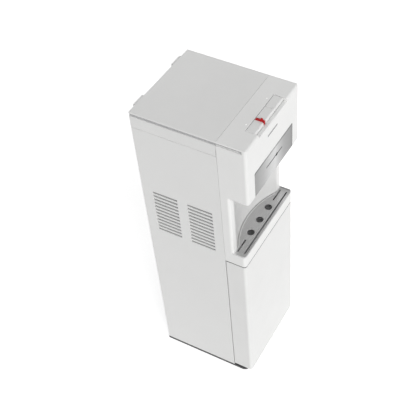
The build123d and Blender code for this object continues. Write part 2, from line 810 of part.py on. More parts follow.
def push_key(name):
    """A key with its skirt, two pivot ears and the presser over its rod."""
    x0, x1 = KEYS[name]
    under = HEIGHT - WALL
    body = side_prism(
        [
            (KEY_REAR, HEIGHT),
            (KEY_FRONT, HEIGHT),
            (KEY_FRONT, HEIGHT - KEY_SKIRT),
            (KEY_FRONT + WALL, HEIGHT - KEY_SKIRT),
            (KEY_FRONT + WALL, under),
            (KEY_REAR, under),
        ],
        x0,
        x1,
        {(KEY_FRONT, HEIGHT): KEY_EDGE},
    )
    for x in (x0 + KEY_EAR, x1 - 5 * KEY_EAR):
        body += key_ear(x, under)
    stem = FAUCETS[name]
    body += block(
        stem - KEY_EAR,
        stem + KEY_EAR,
        ROD_Y - PRESSER_HALF,
        ROD_Y + PRESSER_HALF,
        ROD_TOP + PRESSER_GAP,
        under + TOUCH_OVERLAP,
    )
    body -= across(x0 - 1, x1 + 1, KEY_PIVOT_Y, KEY_PIVOT_Z, PIVOT_PIN_R + PIN_GAP)
    if name == "hot":
        body -= lock_way()
    corners = [
        e
        for e in body.edges().filter_by(Axis.Z)
        if abs(e.center().Y - KEY_FRONT) < 0.01 and e.length > KEY_EDGE
    ]
    return chamfer(corners, KEY_CORNER)


def key_ear(x, under):
    """An arm from a key's underside back to the pivot pin."""
    reach = KEY_REAR - KEY_EAR
    low = KEY_PIVOT_Z - KEY_EAR_R
    end = KEY_PIVOT_Y + KEY_EAR_R
    return side_prism(
        [
            (reach - 3 * KEY_EAR, under + TOUCH_OVERLAP),
            (reach, under + TOUCH_OVERLAP),
            (KEY_PIVOT_Y, KEY_PIVOT_Z + KEY_EAR_R),
            (end - 1, KEY_PIVOT_Z + KEY_EAR_R - 1),
            (end - 1, low + 1),
            (KEY_PIVOT_Y, low),
            (reach - KEY_EAR, low),
        ],
        x,
        x + KEY_EAR,
    )


def lock_way():
    """The slot and the open front corner that the child lock slides in."""
    side = SEAT_GAP
    slot_half = LOCK_RIB / 2 + side
    rear = KEY_REAR - WALL
    way = block(
        LOCK_X - slot_half, LOCK_X + slot_half, KEY_FRONT - 1, rear, HEIGHT - 2 * WALL, HEIGHT + 1
    )
    corner_rear = KEY_FRONT + LOCK_HOOK + LOCK_TRAVEL + side
    corner = block(
        LOCK_X - LOCK_WIDE / 2 - side,
        KEYS["hot"][1] + 1,
        KEY_FRONT - 1,
        corner_rear,
        HEIGHT - LOCK_HOOK_DROP - side,
        HEIGHT + 1,
    )
    return way + corner


def child_lock():
    """The red slide: a cap, a hook over the key's front edge, a foot under it and a thumb nub."""
    half = LOCK_WIDE / 2
    left = LOCK_X - half
    right = LOCK_X + half
    under = HEIGHT - WALL
    base = HEIGHT + LOCK_LIFT
    top = base + LOCK_CAP
    rear = KEY_REAR - KEY_GAP
    hook_rear = KEY_FRONT + LOCK_HOOK
    nub = KEY_FRONT + 7.5
    profile = [
        (rear, base),
        (rear, top),
        (nub + 7.5, top),
        (nub + 3.5, top + LOCK_NUB),
        (nub, top + LOCK_NUB),
        (nub - 2.0, top),
        (KEY_FRONT, top),
        (KEY_FRONT, HEIGHT - LOCK_HOOK_DROP),
        (hook_rear, HEIGHT - LOCK_HOOK_DROP),
        (hook_rear, base),
    ]
    rounds = {
        (nub + 3.5, top + LOCK_NUB): 1.5,
        (nub, top + LOCK_NUB): 1.5,
        (KEY_FRONT, top): 1.2,
        (rear, top): 1.0,
    }
    body = side_prism(profile, left, right, rounds)
    foot_front = hook_rear + 2 * LOCK_TRAVEL + 1
    foot_rear = rear - WALL - LOCK_TRAVEL - 1
    rib_half = LOCK_RIB / 2
    foot_top = under - LOCK_LIFT
    body += block(
        LOCK_X - rib_half, LOCK_X + rib_half, foot_front, foot_rear, foot_top - 1, base + TOUCH_OVERLAP
    )
    return body + block(left + 0.5, right - 0.5, foot_front, foot_rear, foot_top - 1.6, foot_top)


def lid():
    """The rear cover: a top plate with short side skirts, grip grooves and a rear lip."""
    outer = block(-HALF, HALF, CABINET_FRONT, CABINET_REAR, LID_BOTTOM, HEIGHT)
    rear_edges = [
        e for e in outer.edges().filter_by(Axis.Z) if abs(e.center().Y - CABINET_REAR) < 0.01
    ]
    outer = fillet(rear_edges, REAR_CORNER)
    outer &= front_prism(
        top_rounded(HALF, LID_BOTTOM - 1, HEIGHT, SIDE_TOP_EDGE), CABINET_FRONT - 1, CABINET_REAR + 1
    )
    outer -= side_prism(
        [
            (CABINET_FRONT - 1, LID_BOTTOM - 1),
            (CABINET_FRONT + LID_RELIEF, LID_BOTTOM - 1),
            (CABINET_FRONT, HINGE_Z),
            (CABINET_FRONT - 1, HINGE_Z),
        ],
        -HALF - 1,
        HALF + 1,
    )
    hollow = block(
        -INNER_HALF, INNER_HALF, CABINET_FRONT - 1, CABINET_REAR + 1, LID_BOTTOM - 1, HEIGHT - LID_TOP
    )
    hollow -= grip_groove(CABINET_FRONT - 1, CABINET_REAR + 2, GROOVE_DEEP + WALL, WALL)
    lip = block(
        -FIT_HALF, FIT_HALF, CABINET_REAR - WALL, CABINET_REAR + 2, HEIGHT - LID_REAR_LIP, HEIGHT
    )
    body = outer - (hollow - lip)
    body -= grip_groove(CABINET_FRONT - 1, CABINET_REAR + 2, GROOVE_DEEP, 0)
    for x in (-HINGE_X, HINGE_X):
        body += lid_ear(x)
    return body


def lid_ear(x):
    """A wide ear on the lid's rear lip that narrows to the middle knuckle."""
    top = HEIGHT - HINGE_EAR_TOP
    wide_bottom = top - HINGE_EAR_TALL
    inner = CABINET_REAR - WALL
    outer = CABINET_REAR + HINGE_EAR_PROUD
    wide = side_prism(
        [(inner, wide_bottom), (outer, wide_bottom), (outer, top), (inner, top)],
        x - HINGE_WIDE / 2,
        x + HINGE_WIDE / 2,
        {(outer, top): HINGE_EAR_EDGE, (outer, wide_bottom): 1.0},
    )
    leaf_half = HINGE_LEAF / 2
    tongue = side_prism(
        [(inner, wide_bottom + 2), *knuckle_corners(), (outer - 1, wide_bottom + 2)],
        x - leaf_half,
        x + leaf_half,
    )
    return wide + tongue - across(x - leaf_half - 1, x + leaf_half + 1, HINGE_Y, HINGE_Z, LID_PIN_R + PIN_GAP)


def knuckle_corners():
    """The lower outline of a knuckle about the lid's hinge line, from its front round to its rear."""
    half = HINGE_R * math.tan(math.radians(22.5))
    return [
        (HINGE_Y - HINGE_R, HINGE_Z),
        (HINGE_Y - HINGE_R, HINGE_Z - half),
        (HINGE_Y - half, HINGE_Z - HINGE_R),
        (HINGE_Y + half, HINGE_Z - HINGE_R),
        (HINGE_Y + HINGE_R, HINGE_Z - half),
        (HINGE_Y + HINGE_R, HINGE_Z),
    ]


def lid_hinge_brackets():
    """Two brackets on the back panel, each with an outer pair of knuckles."""
    leaf_top = HINGE_Z - HINGE_R + 1
    brackets = []
    for x in (-HINGE_X, HINGE_X):
        half = HINGE_WIDE / 2
        leaf = block(
            x - half, x + half, BACK_FACE, BACK_FACE + BRACKET_LEAF, leaf_top - BRACKET_TALL, leaf_top
        )
        for side in (-1, 1):
            inner = x + side * (HINGE_LEAF / 2 + SEAT_GAP)
            outer = x + side * half
            low, high = min(inner, outer), max(inner, outer)
            leaf += side_prism(
                [
                    (BACK_FACE, HINGE_Z),
                    (BACK_FACE, leaf_top - 14),
                    *knuckle_corners()[2:],
                    (HINGE_Y + HINGE_R / 2, HINGE_Z + HINGE_R),
                    (HINGE_Y - HINGE_R / 2, HINGE_Z + HINGE_R),
                ],
                low,
                high,
            )
        leaf -= across(x - half - 1, x + half + 1, HINGE_Y, HINGE_Z, LID_PIN_R + PIN_GAP)
        brackets.append(leaf)
    return brackets


def lid_hinge_pins():
    """One pin through each lid hinge."""
    half = HINGE_WIDE / 2
    return [across(x - half, x + half, HINGE_Y, HINGE_Z, LID_PIN_R) for x in (-HINGE_X, HINGE_X)]


def well_deck():
    """The deck under the lid, with the raised ring and the funnel that takes the bottle's neck."""
    front = HEAD_REAR + SEAT_GAP
    deck = block(-FIT_HALF, FIT_HALF, front, BACK_INNER - SEAT_GAP, PANEL_TOP, DECK_TOP)
    deck -= upright(0, WELL_Y, PANEL_TOP - 1, DECK_TOP + 1, WELL_R - WALL)
    rim = DECK_TOP + WELL_RISE
    bowl_r = WELL_R - WELL_LIP
    ring = vessel(0, WELL_Y, [(WELL_R, PANEL_TOP), (WELL_R, rim)])
    ring -= vessel(0, WELL_Y, [(WELL_R - WALL, PANEL_TOP - 1), (WELL_R - WALL, rim - WALL)])
    bowl_low = (THROAT_R + WALL / 2, THROAT_Z - WALL)
    bowl = ring + vessel(0, WELL_Y, [bowl_low, (bowl_r + WALL / 2, rim - WALL / 2)])
    bowl -= vessel(0, WELL_Y, [(THROAT_R, THROAT_Z), (bowl_r, rim)])
    neck = vessel(0, WELL_Y, [(THROAT_R - 2 * WALL, bowl_low[1] - 1), (THROAT_R - 2 * WALL, THROAT_Z + 1)])
    return deck + bowl - neck


def bottle_pads():
    """Soft pads round the funnel's rim that the bottle's shoulder sits on."""
    rim = DECK_TOP + WELL_RISE
    middle = WELL_R - WELL_LIP / 2
    pad = Pos(middle, 0, rim + PAD_TALL / 2) * Box(WELL_LIP - 2, PAD_LONG, PAD_TALL)
    return [
        Pos(0, WELL_Y, 0) * Rot(0, 0, index * 360 / PAD_COUNT) * pad for index in range(PAD_COUNT)
    ]


def bottle_probe():
    """The spike that opens the bottle's cap, with side ports and a bolted flange."""
    seat = THROAT_Z
    top = PANEL_TOP + PROBE_RISE
    probe = turned(
        0,
        WELL_Y,
        [
            (PROBE_BORE_R, seat),
            (PROBE_R, seat),
            (PROBE_R, top - PROBE_R),
            (PROBE_BORE_R - 1, top),
            (0, top),
            (0, seat + 24),
            (PROBE_BORE_R, seat + 24),
        ],
    )
    flange = Pos(0, WELL_Y) * RegularPolygon(THROAT_R - WALL, 8)
    flange -= Pos(0, WELL_Y) * Circle(PROBE_R - TOUCH_OVERLAP)
    probe += prism(flange, seat, seat + PROBE_FLANGE)
    ports = block(-PROBE_R - 1, PROBE_R + 1, WELL_Y - 2, WELL_Y + 2, seat + 12, seat + 22)
    return probe - ports


def cold_tank():
    """The chilled tank under the funnel, with its neck and three outlet spigots."""
    neck_r = THROAT_R - 2 * WALL
    tank = vessel(
        0,
        WELL_Y,
        [
            (COLD_R, TANK_BOTTOM),
            (COLD_R, TANK_TOP - TANK_EDGE),
            (neck_r, TANK_TOP - WALL),
            (neck_r, THROAT_Z - WALL),
        ],
    )
    for x in SPIGOT_XS:
        tank += nut_form(x, SPIGOT_Z, SPIGOT_FRONT, WELL_Y - COLD_R + 2 * TANK_EDGE, SPIGOT_R)
    return tank


def tank_insulation():
    """The moulded foam block round the cold tank, open above for the neck."""
    foam = post(0, WELL_Y, FOAM_BOTTOM, TANK_TOP, FOAM_HALF)
    foam = chamfer(foam.edges().filter_by(Axis.Z), FOAM)
    room = Pos(0, WELL_Y) * RegularPolygon(COLD_R + SEAT_GAP, VESSEL_SIDES)
    foam -= prism(room, TANK_BOTTOM - SEAT_GAP, TANK_TOP + 1)
    for x in SPIGOT_XS:
        front = WELL_Y - FOAM_HALF - 1
        foam -= nut_form(x, SPIGOT_Z, front, WELL_Y - COLD_R / 2, SPIGOT_R + 2 * SEAT_GAP)
    return foam


def tank_stand():
    """Four posts that stand on the mid shelf and carry the cold tank's foam."""
    reach = FOAM_HALF - POST_INSET
    side_y = HOT_Y - HOT_R - POST_GAP
    places = (
        (-reach, side_y),
        (reach, side_y),
        (POST_REAR_X, WELL_Y + reach),
        (0, WELL_Y - reach),
    )
    return [post(x, y, SHELF_TOP, FOAM_BOTTOM, POST_HALF) for x, y in places]


def hot_tank():
    """The small heated tank on three legs, with its outlet at the top front."""
    top = HOT_BOTTOM + HOT_TALL
    tank = vessel(
        HOT_X,
        HOT_Y,
        [(HOT_R, HOT_BOTTOM), (HOT_R, top - TANK_EDGE), (HOT_R - TANK_EDGE, top)],
    )
    for turn in (30, 150, 270):
        x = HOT_X + (HOT_R - TANK_EDGE) * math.cos(math.radians(turn))
        y = HOT_Y + (HOT_R - TANK_EDGE) * math.sin(math.radians(turn))
        tank += block(x - LEG_HALF, x + LEG_HALF, y - LEG_HALF, y + LEG_HALF, SHELF_TOP, HOT_BOTTOM + 2)
    z = top - TANK_EDGE - 2 * SPIGOT_R
    return tank + nut_form(HOT_X, z, HOT_Y - HOT_R - 6, HOT_Y - HOT_R + 4, SPIGOT_R)


def heater():
    """The immersion heater's hexagonal head on the hot tank's side, with two terminals."""
    side = HOT_X - HOT_R - PIN_GAP
    z = HOT_BOTTOM + HEATER_RISE
    face = Plane(origin=(side, HOT_Y, z), x_dir=(0, 1, 0), z_dir=(-1, 0, 0))
    head = extrude(face * RegularPolygon(HEATER_R, 6), HEATER_HEAD)
    outer = side - HEATER_HEAD
    half = TERMINAL_HALF
    for y in (HOT_Y - TERMINAL_SPREAD, HOT_Y + TERMINAL_SPREAD):
        y0, y1 = y - TERMINAL_THICK / 2, y + TERMINAL_THICK / 2
        head += block(outer - TERMINAL_LONG, outer + 2 * TOUCH_OVERLAP, y0, y1, z - half, z + half)
    return head


def thermostats():
    """Two thermostats clipped to the hot tank's side."""
    x = HOT_X + HOT_R + PIN_GAP
    blocks = []
    for rise in THERMOSTAT_RISES:
        z = HOT_BOTTOM + rise
        half = THERMOSTAT_HALF
        blocks.append(block(x, x + THERMOSTAT_THICK, HOT_Y - half, HOT_Y + half, z - half, z + half))
    return blocks


def mid_shelf():
    """The steel shelf that carries the cooling and heating parts."""
    front = CABINET_FRONT + SHEET
    rear = BACK_INNER - WALL - SEAT_GAP
    shelf = block(-FIT_HALF, FIT_HALF, front, rear, SHELF_TOP - SHELF_FLANGE, SHELF_TOP)
    shelf -= block(
        -FIT_HALF + SHEET,
        FIT_HALF - SHEET,
        front + SHEET,
        rear - SHEET,
        SHELF_TOP - SHELF_FLANGE - 1,
        SHELF_TOP - SHEET,
    )
    return shelf


def compressor_feet():
    """The four corners of the compressor's base plate."""
    dx = COMP_PLATE_X / 2 - 1.5 * MOUNT_R
    dy = COMP_PLATE_Y / 2 - 1.5 * MOUNT_R
    return [(COMP_X + sx * dx, COMP_Y + sy * dy) for sx in (-1, 1) for sy in (-1, 1)]


def compressor():
    """The hermetic compressor: a domed can on a base plate."""
    seat = SHELF_TOP + MOUNT_TALL
    top = seat + COMP_TALL
    plate = Pos(COMP_X, COMP_Y, seat + COMP_PLATE / 2) * Box(COMP_PLATE_X, COMP_PLATE_Y, COMP_PLATE)
    plate = chamfer(plate.edges().filter_by(Axis.Z), MOUNT_R)
    can = vessel(
        COMP_X,
        COMP_Y,
        [
            (COMP_R - COMP_FOOT, seat),
            (COMP_R, seat + 2 * COMP_FOOT),
            (COMP_R, top - COMP_DOME),
            (COMP_R - COMP_DOME, top),
        ],
    )
    return plate + can + post(*LINE_START, LINE_R + 1)


def compressor_mounts():
    """Four rubber blocks under the compressor's base plate."""
    mounts = []
    for x, y in compressor_feet():
        mounts.append(post(x, y, SHELF_TOP, SHELF_TOP + MOUNT_TALL, MOUNT_R))
    return mounts


def condenser():
    """The wire-and-tube condenser on the back: one tube to and fro, with upright wires."""
    points = []
    top = COIL_BOTTOM + (COIL_RUNS - 1) * COIL_PITCH
    bend = COIL_PITCH * 0.3
    for run in range(COIL_RUNS):
        z = COIL_BOTTOM + run * COIL_PITCH
        ends = [(-COIL_HALF, COIL_Y, z), (COIL_HALF, COIL_Y, z)]
        start, end = ends if run % 2 == 0 else ends[::-1]
        side = math.copysign(bend, end[0])
        if run > 0:
            points.append((start[0] - side, COIL_Y, z - bend))
        points += [start, end]
        if run < COIL_RUNS - 1:
            points.append((end[0] + side, COIL_Y, z + bend))
    solids = [tube(points, COIL_R)]
    wire_y = COIL_Y + COIL_R + WIRE_GAP
    span = COIL_HALF - COIL_PITCH / 2
    for index in range(WIRE_COUNT):
        x = -span + 2 * span * index / (WIRE_COUNT - 1)
        solids.append(
            block(x - WIRE_R, x + WIRE_R, wire_y, wire_y + 2 * WIRE_R, COIL_BOTTOM - 12, top + 12)
        )
    return solids


def panel_clips():
    """Clips on the back panel: four hold the condenser's runs outside and one the drier inside."""
    top = COIL_BOTTOM + (COIL_RUNS - 1) * COIL_PITCH
    clips = []
    for x in (-COIL_HALF / 2 - 8, COIL_HALF / 2 + 8):
        for z in (COIL_BOTTOM, top):
            clips.append(block(x - 5, x + 5, BACK_FACE, BACK_FACE + COIL_STANDOFF - SEAT_GAP, z - 4, z + 4))
    z = LINE_Z - 40 - DRIER_TALL / 2
    saddle = block(DRIER_X - 5, DRIER_X + 5, DRIER_Y, BACK_INNER, z - 6, z + 6)
    clips.append(saddle - upright(DRIER_X, DRIER_Y, z - 7, z + 7, DRIER_R + PIN_GAP))
    return clips


def refrigerant_lines():
    """The discharge line from the compressor out through the back panel."""
    start = (LINE_START[0], COMP_Y, LINE_START[3])
    up = (LINE_START[0], COMP_Y, LINE_Z + 12)
    back = (DRIER_X, DRIER_Y, LINE_Z + 12)
    down = (DRIER_X, DRIER_Y, LINE_Z - 40)
    return tube([start, up, back, down], LINE_R)


def filter_drier():
    """The drier in line below the discharge line."""
    top = LINE_Z - 40
    outline = Pos(DRIER_X, DRIER_Y) * RegularPolygon(DRIER_R, LAMP_SIDES)
    return prism(outline, top - DRIER_TALL, top)


def water_lines():
    """Soft tubes from the tanks to the three faucets."""
    end = SPOUT_Y + VALVE_HALF + FAUCET_FLANGE + INLET_REACH
    inlet_z = PLATE_TOP + INLET_RISE
    gap = SPIGOT_FRONT - end
    room_x, cold_x, hot_x = FAUCETS["room"], FAUCETS["cold"], FAUCETS["hot"]
    rise_y = SPIGOT_FRONT - 4
    hot_z = HOT_BOTTOM + HOT_TALL - TANK_EDGE - 2 * SPIGOT_R
    room = [(room_x, SPIGOT_FRONT, SPIGOT_Z), (room_x, end, inlet_z)]
    cold = [
        (SPIGOT_XS[1], SPIGOT_FRONT, SPIGOT_Z),
        (SPIGOT_XS[1], SPIGOT_FRONT - gap * 0.3, SPIGOT_Z),
        (cold_x, end + gap * 0.3, inlet_z),
        (cold_x, end, inlet_z),
    ]
    hot = [
        (HOT_X, HOT_Y - HOT_R - 6, hot_z),
        (HOT_X, rise_y, hot_z),
        (HOT_X, rise_y, inlet_z),
        (hot_x, end + gap * 0.3, inlet_z),
        (hot_x, end, inlet_z),
    ]
    return [tube(points, TUBE_R) for points in (room, cold, hot)]


def vent_rows():
    """The height of each vent slot, from the top one down."""
    top = SHELF_TOP + VENT_RISE + (VENT_COUNT - 1) * VENT_PITCH
    return [top - index * VENT_PITCH for index in range(VENT_COUNT)]


def vent_columns():
    """The front and rear end of each of the two columns of slots."""
    first = CABINET_FRONT + VENT_INSET
    second = first + VENT_WIDE + VENT_SPACE
    return [(first, first + VENT_WIDE), (second, second + VENT_WIDE)]


def side_panel(side):
    """A side of the cabinet with its top and rear flanges and its vent slots."""
    panel = block(INNER_HALF, HALF, CABINET_FRONT, CABINET_REAR, BASE_TOP, PANEL_TOP)
    rear_edge = [
        e
        for e in panel.edges().filter_by(Axis.Z)
        if e.center().Y > CABINET_REAR - 0.01 and e.center().X > HALF - 0.01
    ]
    panel = fillet(rear_edge, REAR_CORNER)
    flange_x = INNER_HALF - REAR_FLANGE
    panel += block(
        flange_x, INNER_HALF, BACK_INNER - WALL, BACK_INNER, BASE_TOP + 14, PANEL_TOP - WALL
    )
    panel += block(
        INNER_HALF - DECK_FLANGE, INNER_HALF, HEAD_REAR + 2 * SEAM, BACK_INNER, PANEL_TOP - WALL, PANEL_TOP
    )
    for z in vent_rows():
        for y0, y1 in vent_columns():
            panel -= block(INNER_HALF - 1, HALF + 1, y0, y1, z - VENT_SLOT / 2, z + VENT_SLOT / 2)
    return panel if side > 0 else mirror(panel, Plane.YZ)


def vent_louvres(side):
    """Sloping blades behind the slots, held by upright rails."""
    rows = vent_rows()
    top = rows[0] + VENT_PITCH * 0.6
    bottom = rows[-1] - VENT_PITCH * 0.6
    inner = INNER_HALF - LOUVRE_DEEP
    solids = []
    for y0, y1 in vent_columns():
        ladder = block(inner, INNER_HALF, y0 - LOUVRE_RAIL, y0, bottom, top)
        ladder += block(inner, INNER_HALF, y1, y1 + LOUVRE_RAIL, bottom, top)
        for z in rows:
            ladder += blade(inner, y0, y1, z - VENT_SLOT / 2)
        solids.append(ladder if side > 0 else mirror(ladder, Plane.YZ))
    return solids


def blade(inner, y0, y1, z):
    """One blade that rises inward from the lower edge of its slot."""
    section = make_face(
        Polyline(
            (INNER_HALF, z - LOUVRE),
            (INNER_HALF, z),
            (inner, z + LOUVRE_RISE),
            (inner, z + LOUVRE_RISE - LOUVRE),
            close=True,
        )
    )
    return front_prism(section, y0 - TOUCH_OVERLAP, y1 + TOUCH_OVERLAP)


def back_panel():
    """The steel back, narrower above the side panels, with holes for what passes through."""
    upper_half = HALF - GROOVE_DEEP - WALL - LID_CLEAR
    top = HEIGHT - BACK_TOP_DROP
    outline = Polyline(
        (-FIT_HALF, BASE_TOP),
        (FIT_HALF, BASE_TOP),
        (FIT_HALF, PANEL_TOP),
        (upper_half, PANEL_TOP),
        (upper_half, top),
        (-upper_half, top),
        (-upper_half, PANEL_TOP),
        (-FIT_HALF, PANEL_TOP),
        close=True,
    )
    panel = front_prism(make_face(outline), BACK_INNER, BACK_FACE)
    for x in switch_places():
        panel -= switch_opening(x, FRAME_EDGE)
    panel -= nut_form(DRAIN_X, DRAIN_Z, BACK_INNER - 1, BACK_FACE + 1, DRAIN_R + SEAT_GAP, 8)
    panel -= nut_form(GLAND_X, GLAND_Z, BACK_INNER - 1, BACK_FACE + 1, GLAND_R + SEAT_GAP)
    for row in range(5):
        for x0, x1 in ((-60, -8), (8, 60)):
            z = SHELF_TOP + 70 + 14 * row
            panel -= block(x0, x1, BACK_INNER - 1, BACK_FACE + 1, z, z + 5)
    return panel


def switch_places():
    """Where the hot and the cold switch sit on the back."""
    return [-SWITCH_X, -SWITCH_X + SWITCH_PITCH]


def switch_opening(x, margin):
    """The hole for a switch, wider by a margin."""
    half_x = ROCKER_WIDE / 2 + SEAT_GAP + margin
    half_z = ROCKER_TALL / 2 + ROCKER_GAP + margin
    return block(x - half_x, x + half_x, BACK_FACE - 20, BACK_FACE + 20, SWITCH_Z - half_z, SWITCH_Z + half_z)


def switch_frames():
    """The frame of each rocker switch, with a rim outside the panel and two pin ears inside."""
    frames = []
    for x in switch_places():
        half_x = ROCKER_WIDE / 2 + FRAME_EDGE
        half_z = ROCKER_TALL / 2 + ROCKER_GAP + FRAME_EDGE - SEAT_GAP
        frame = block(x - half_x, x + half_x, BACK_INNER - 8, BACK_FACE, SWITCH_Z - half_z, SWITCH_Z + half_z)
        frame += block(
            x - half_x - 2,
            x + half_x + 2,
            BACK_FACE,
            BACK_FACE + 1.5,
            SWITCH_Z - half_z - 2,
            SWITCH_Z + half_z + 2,
        )
        frame -= switch_opening(x, 0)
        seat_half = half_x - 1
        frame -= across(x - seat_half, x + seat_half, BACK_INNER, SWITCH_Z, ROCKER_PIN_R + PIN_GAP)
        frames.append(frame)
    return frames


def rocker(x):
    """A rocker with two faces at an angle, tilted to its off side, with its two stub pins."""
    half = ROCKER_TALL / 2
    y = BACK_INNER
    shape = side_prism(
        [
            (y - 3, SWITCH_Z - half + 3),
            (y + 3.0, SWITCH_Z - half),
            (y + 4.4, SWITCH_Z),
            (y + 3.0, SWITCH_Z + half),
            (y - 3, SWITCH_Z + half - 3),
        ],
        x - ROCKER_WIDE / 2,
        x + ROCKER_WIDE / 2,
    )
    pin_half = ROCKER_WIDE / 2 + FRAME_EDGE - 1.2
    shape += across(x - pin_half, x + pin_half, y, SWITCH_Z, ROCKER_PIN_R)
    axis = Axis((x, y, SWITCH_Z), (1, 0, 0))
    return shape.rotate(axis, ROCKER_TILT)


def drain_plug():
    """The drain stub and its eight-sided cap at the back."""
    cap = nut_form(DRAIN_X, DRAIN_Z, BACK_FACE, BACK_FACE + 12, DRAIN_R + 4, 8)
    return cap + nut_form(DRAIN_X, DRAIN_Z, BACK_FACE - 22, BACK_FACE + 1, DRAIN_R, 8)


def cord_gland():
    """The strain relief in the back panel where the mains lead enters."""
    y = BACK_FACE
    gland = nut_form(GLAND_X, GLAND_Z, y - 8, y + 1, GLAND_R)
    gland += nut_form(GLAND_X, GLAND_Z, y, y + 3, GLAND_R + 3)
    gland += nut_form(GLAND_X, GLAND_Z, y, y + 11, GLAND_R - 1.5)
    return gland - nut_form(GLAND_X, GLAND_Z, y - 9, y + 12, 3.4)


def panel_screws():
    """Screws that hold the back panel to the side panels' flanges."""
    screws = []
    x = INNER_HALF - REAR_FLANGE / 2
    low = BASE_TOP + SCREW_LOW
    high = PANEL_TOP - SCREW_HIGH
    for side in (-x, x):
        for index in range(SCREW_COUNT):
            z = low + (high - low) * index / (SCREW_COUNT - 1)
            screws.append(nut_form(side, z, BACK_FACE, BACK_FACE + SCREW_TALL, SCREW_R))
    return screws


def electrics_box():
    """The closed box with the heater relay and fuses, on the mid shelf's left rear."""
    x1 = HOT_X - HOT_R * 0.2
    body = block(
        -FIT_HALF + 14, x1, HOT_Y + HOT_R + 14, BACK_INNER - WALL - SEAT_GAP, SHELF_TOP, SHELF_TOP + 60
    )
    return chamfer(body.edges().filter_by(Axis.Z), 4.0)


def cabinet_liner():
    """The storage compartment: a tub on its side with a flange round its mouth."""
    rear = BACK_INNER - LINER_BACK_GAP
    tub = block(-LINER_HALF, LINER_HALF, CABINET_FRONT, rear, LINER_BOTTOM, LINER_TOP)
    flange = block(-FIT_HALF, FIT_HALF, CABINET_FRONT, FLANGE_BACK, BASE_TOP, FLANGE_TOP)
    inner = block(
        -LINER_HALF + LINER_WALL,
        LINER_HALF - LINER_WALL,
        CABINET_FRONT - 1,
        rear - LINER_WALL,
        LINER_BOTTOM + LINER_WALL,
        LINER_TOP - LINER_WALL,
    )
    inner_corners = [e for e in inner.edges().filter_by(Axis.Y)]
    inner = fillet(inner_corners, 8.0)
    return tub + flange - inner


def catch_block():
    """The magnetic catch under the compartment's ceiling."""
    top = LINER_TOP - LINER_WALL
    body = block(
        -CATCH_HALF, CATCH_HALF, CABINET_FRONT, CABINET_FRONT + CATCH_DEEP, top - CATCH_TALL, top
    )
    return chamfer(body.edges().filter_by(Axis.Z), 2.0)


def door_strike():
    """The steel strike on the door's inner panel, facing the catch."""
    top = LINER_TOP - LINER_WALL - STRIKE_INSET
    half = CATCH_HALF - STRIKE_INSET
    bottom = LINER_TOP - LINER_WALL - CATCH_TALL + STRIKE_INSET
    return block(-half, half, DOOR_REAR, CABINET_FRONT - SEAT_GAP, bottom, top)


def door_shell():
    """The wrap-round door: a deep pan with rounded front corners and bottom edge."""
    outer = prism(front_rounded(HALF, LOWER_FRONT, DOOR_REAR, LOWER_CORNER), DOOR_BOTTOM, DOOR_TOP)
    rim = [
        e
        for e in outer.edges()
        if abs(e.center().Z - DOOR_BOTTOM) < 0.01 and e.center().Y < DOOR_REAR - 0.01
    ]
    outer = fillet(rim, DOOR_BOTTOM_EDGE)
    corner = Polyline(
        (HALF + 1, DOOR_REAR + 1),
        (HALF - REAR_CORNER - 1, DOOR_REAR + 1),
        (HALF + 1, DOOR_REAR - REAR_CORNER - 1),
        close=True,
    )
    outer -= prism(make_face(corner), DOOR_BOTTOM - 1, DOOR_TOP + 1)
    inner = prism(
        front_rounded(INNER_HALF, LOWER_FRONT + WALL, DOOR_REAR + 1, LOWER_CORNER - WALL),
        DOOR_BOTTOM + WALL,
        DOOR_TOP - WALL,
    )
    inner_rim = [
        e
        for e in inner.edges()
        if abs(e.center().Z - DOOR_BOTTOM - WALL) < 0.01 and e.center().Y < DOOR_REAR
    ]
    inner = chamfer(inner_rim, (DOOR_BOTTOM_EDGE - WALL) * 0.6)
    door = outer - inner
    for z0, z1 in door_bosses():
        boss = block(
            DOOR_HINGE_X - DOOR_BOSS,
            INNER_HALF + TOUCH_OVERLAP,
            DOOR_HINGE_Y - DOOR_BOSS,
            DOOR_REAR,
            z0,
            z1,
        )
        door += boss & outer
    return door - upright(
        DOOR_HINGE_X, DOOR_HINGE_Y, DOOR_BOTTOM - 1, DOOR_TOP + 1, DOOR_PIN_R + PIN_GAP
    )


def door_bosses():
    """The heights of the lower and upper pin boss in the door."""
    return [
        (DOOR_BOTTOM, DOOR_BOTTOM + DOOR_BOSS_TALL),
        (DOOR_TOP - DOOR_BOSS_TALL, DOOR_TOP),
    ]


def door_liner():
    """The door's inner panel, notched round the pin bosses and stiffened by a raised field."""
    half = FIT_HALF
    z0 = DOOR_BOTTOM + WALL + SEAT_GAP
    z1 = DOOR_TOP - WALL - SEAT_GAP
    outline = make_face(Polyline((-half, z0), (half, z0), (half, z1), (-half, z1), close=True))
    lower = [nearest_vertex(outline, -half, z0), nearest_vertex(outline, half, z0)]
    outline = chamfer(lower, (DOOR_BOTTOM_EDGE - WALL) * 0.6)
    panel = front_prism(outline, DOOR_REAR - WALL, DOOR_REAR)
    for low, high in door_bosses():
        panel -= block(
            DOOR_HINGE_X - DOOR_BOSS - SEAT_GAP,
            HALF,
            DOOR_REAR - 2 * WALL,
            DOOR_REAR + 1,
            low - SEAT_GAP,
            high + SEAT_GAP,
        )
    wide = 2 * (LINER_HALF - FIELD_SIDE)
    field = Pos(0, (z0 + z1) / 2) * Rectangle(wide, z1 - z0 - 2 * FIELD_END)
    field = chamfer(field.vertices(), FIELD_CHAMFER)
    panel += front_prism(field, DOOR_REAR - 3 * WALL, DOOR_REAR - WALL)
    return panel - front_prism(offset(field, -WALL), DOOR_REAR - 2 * WALL, DOOR_REAR + 1)


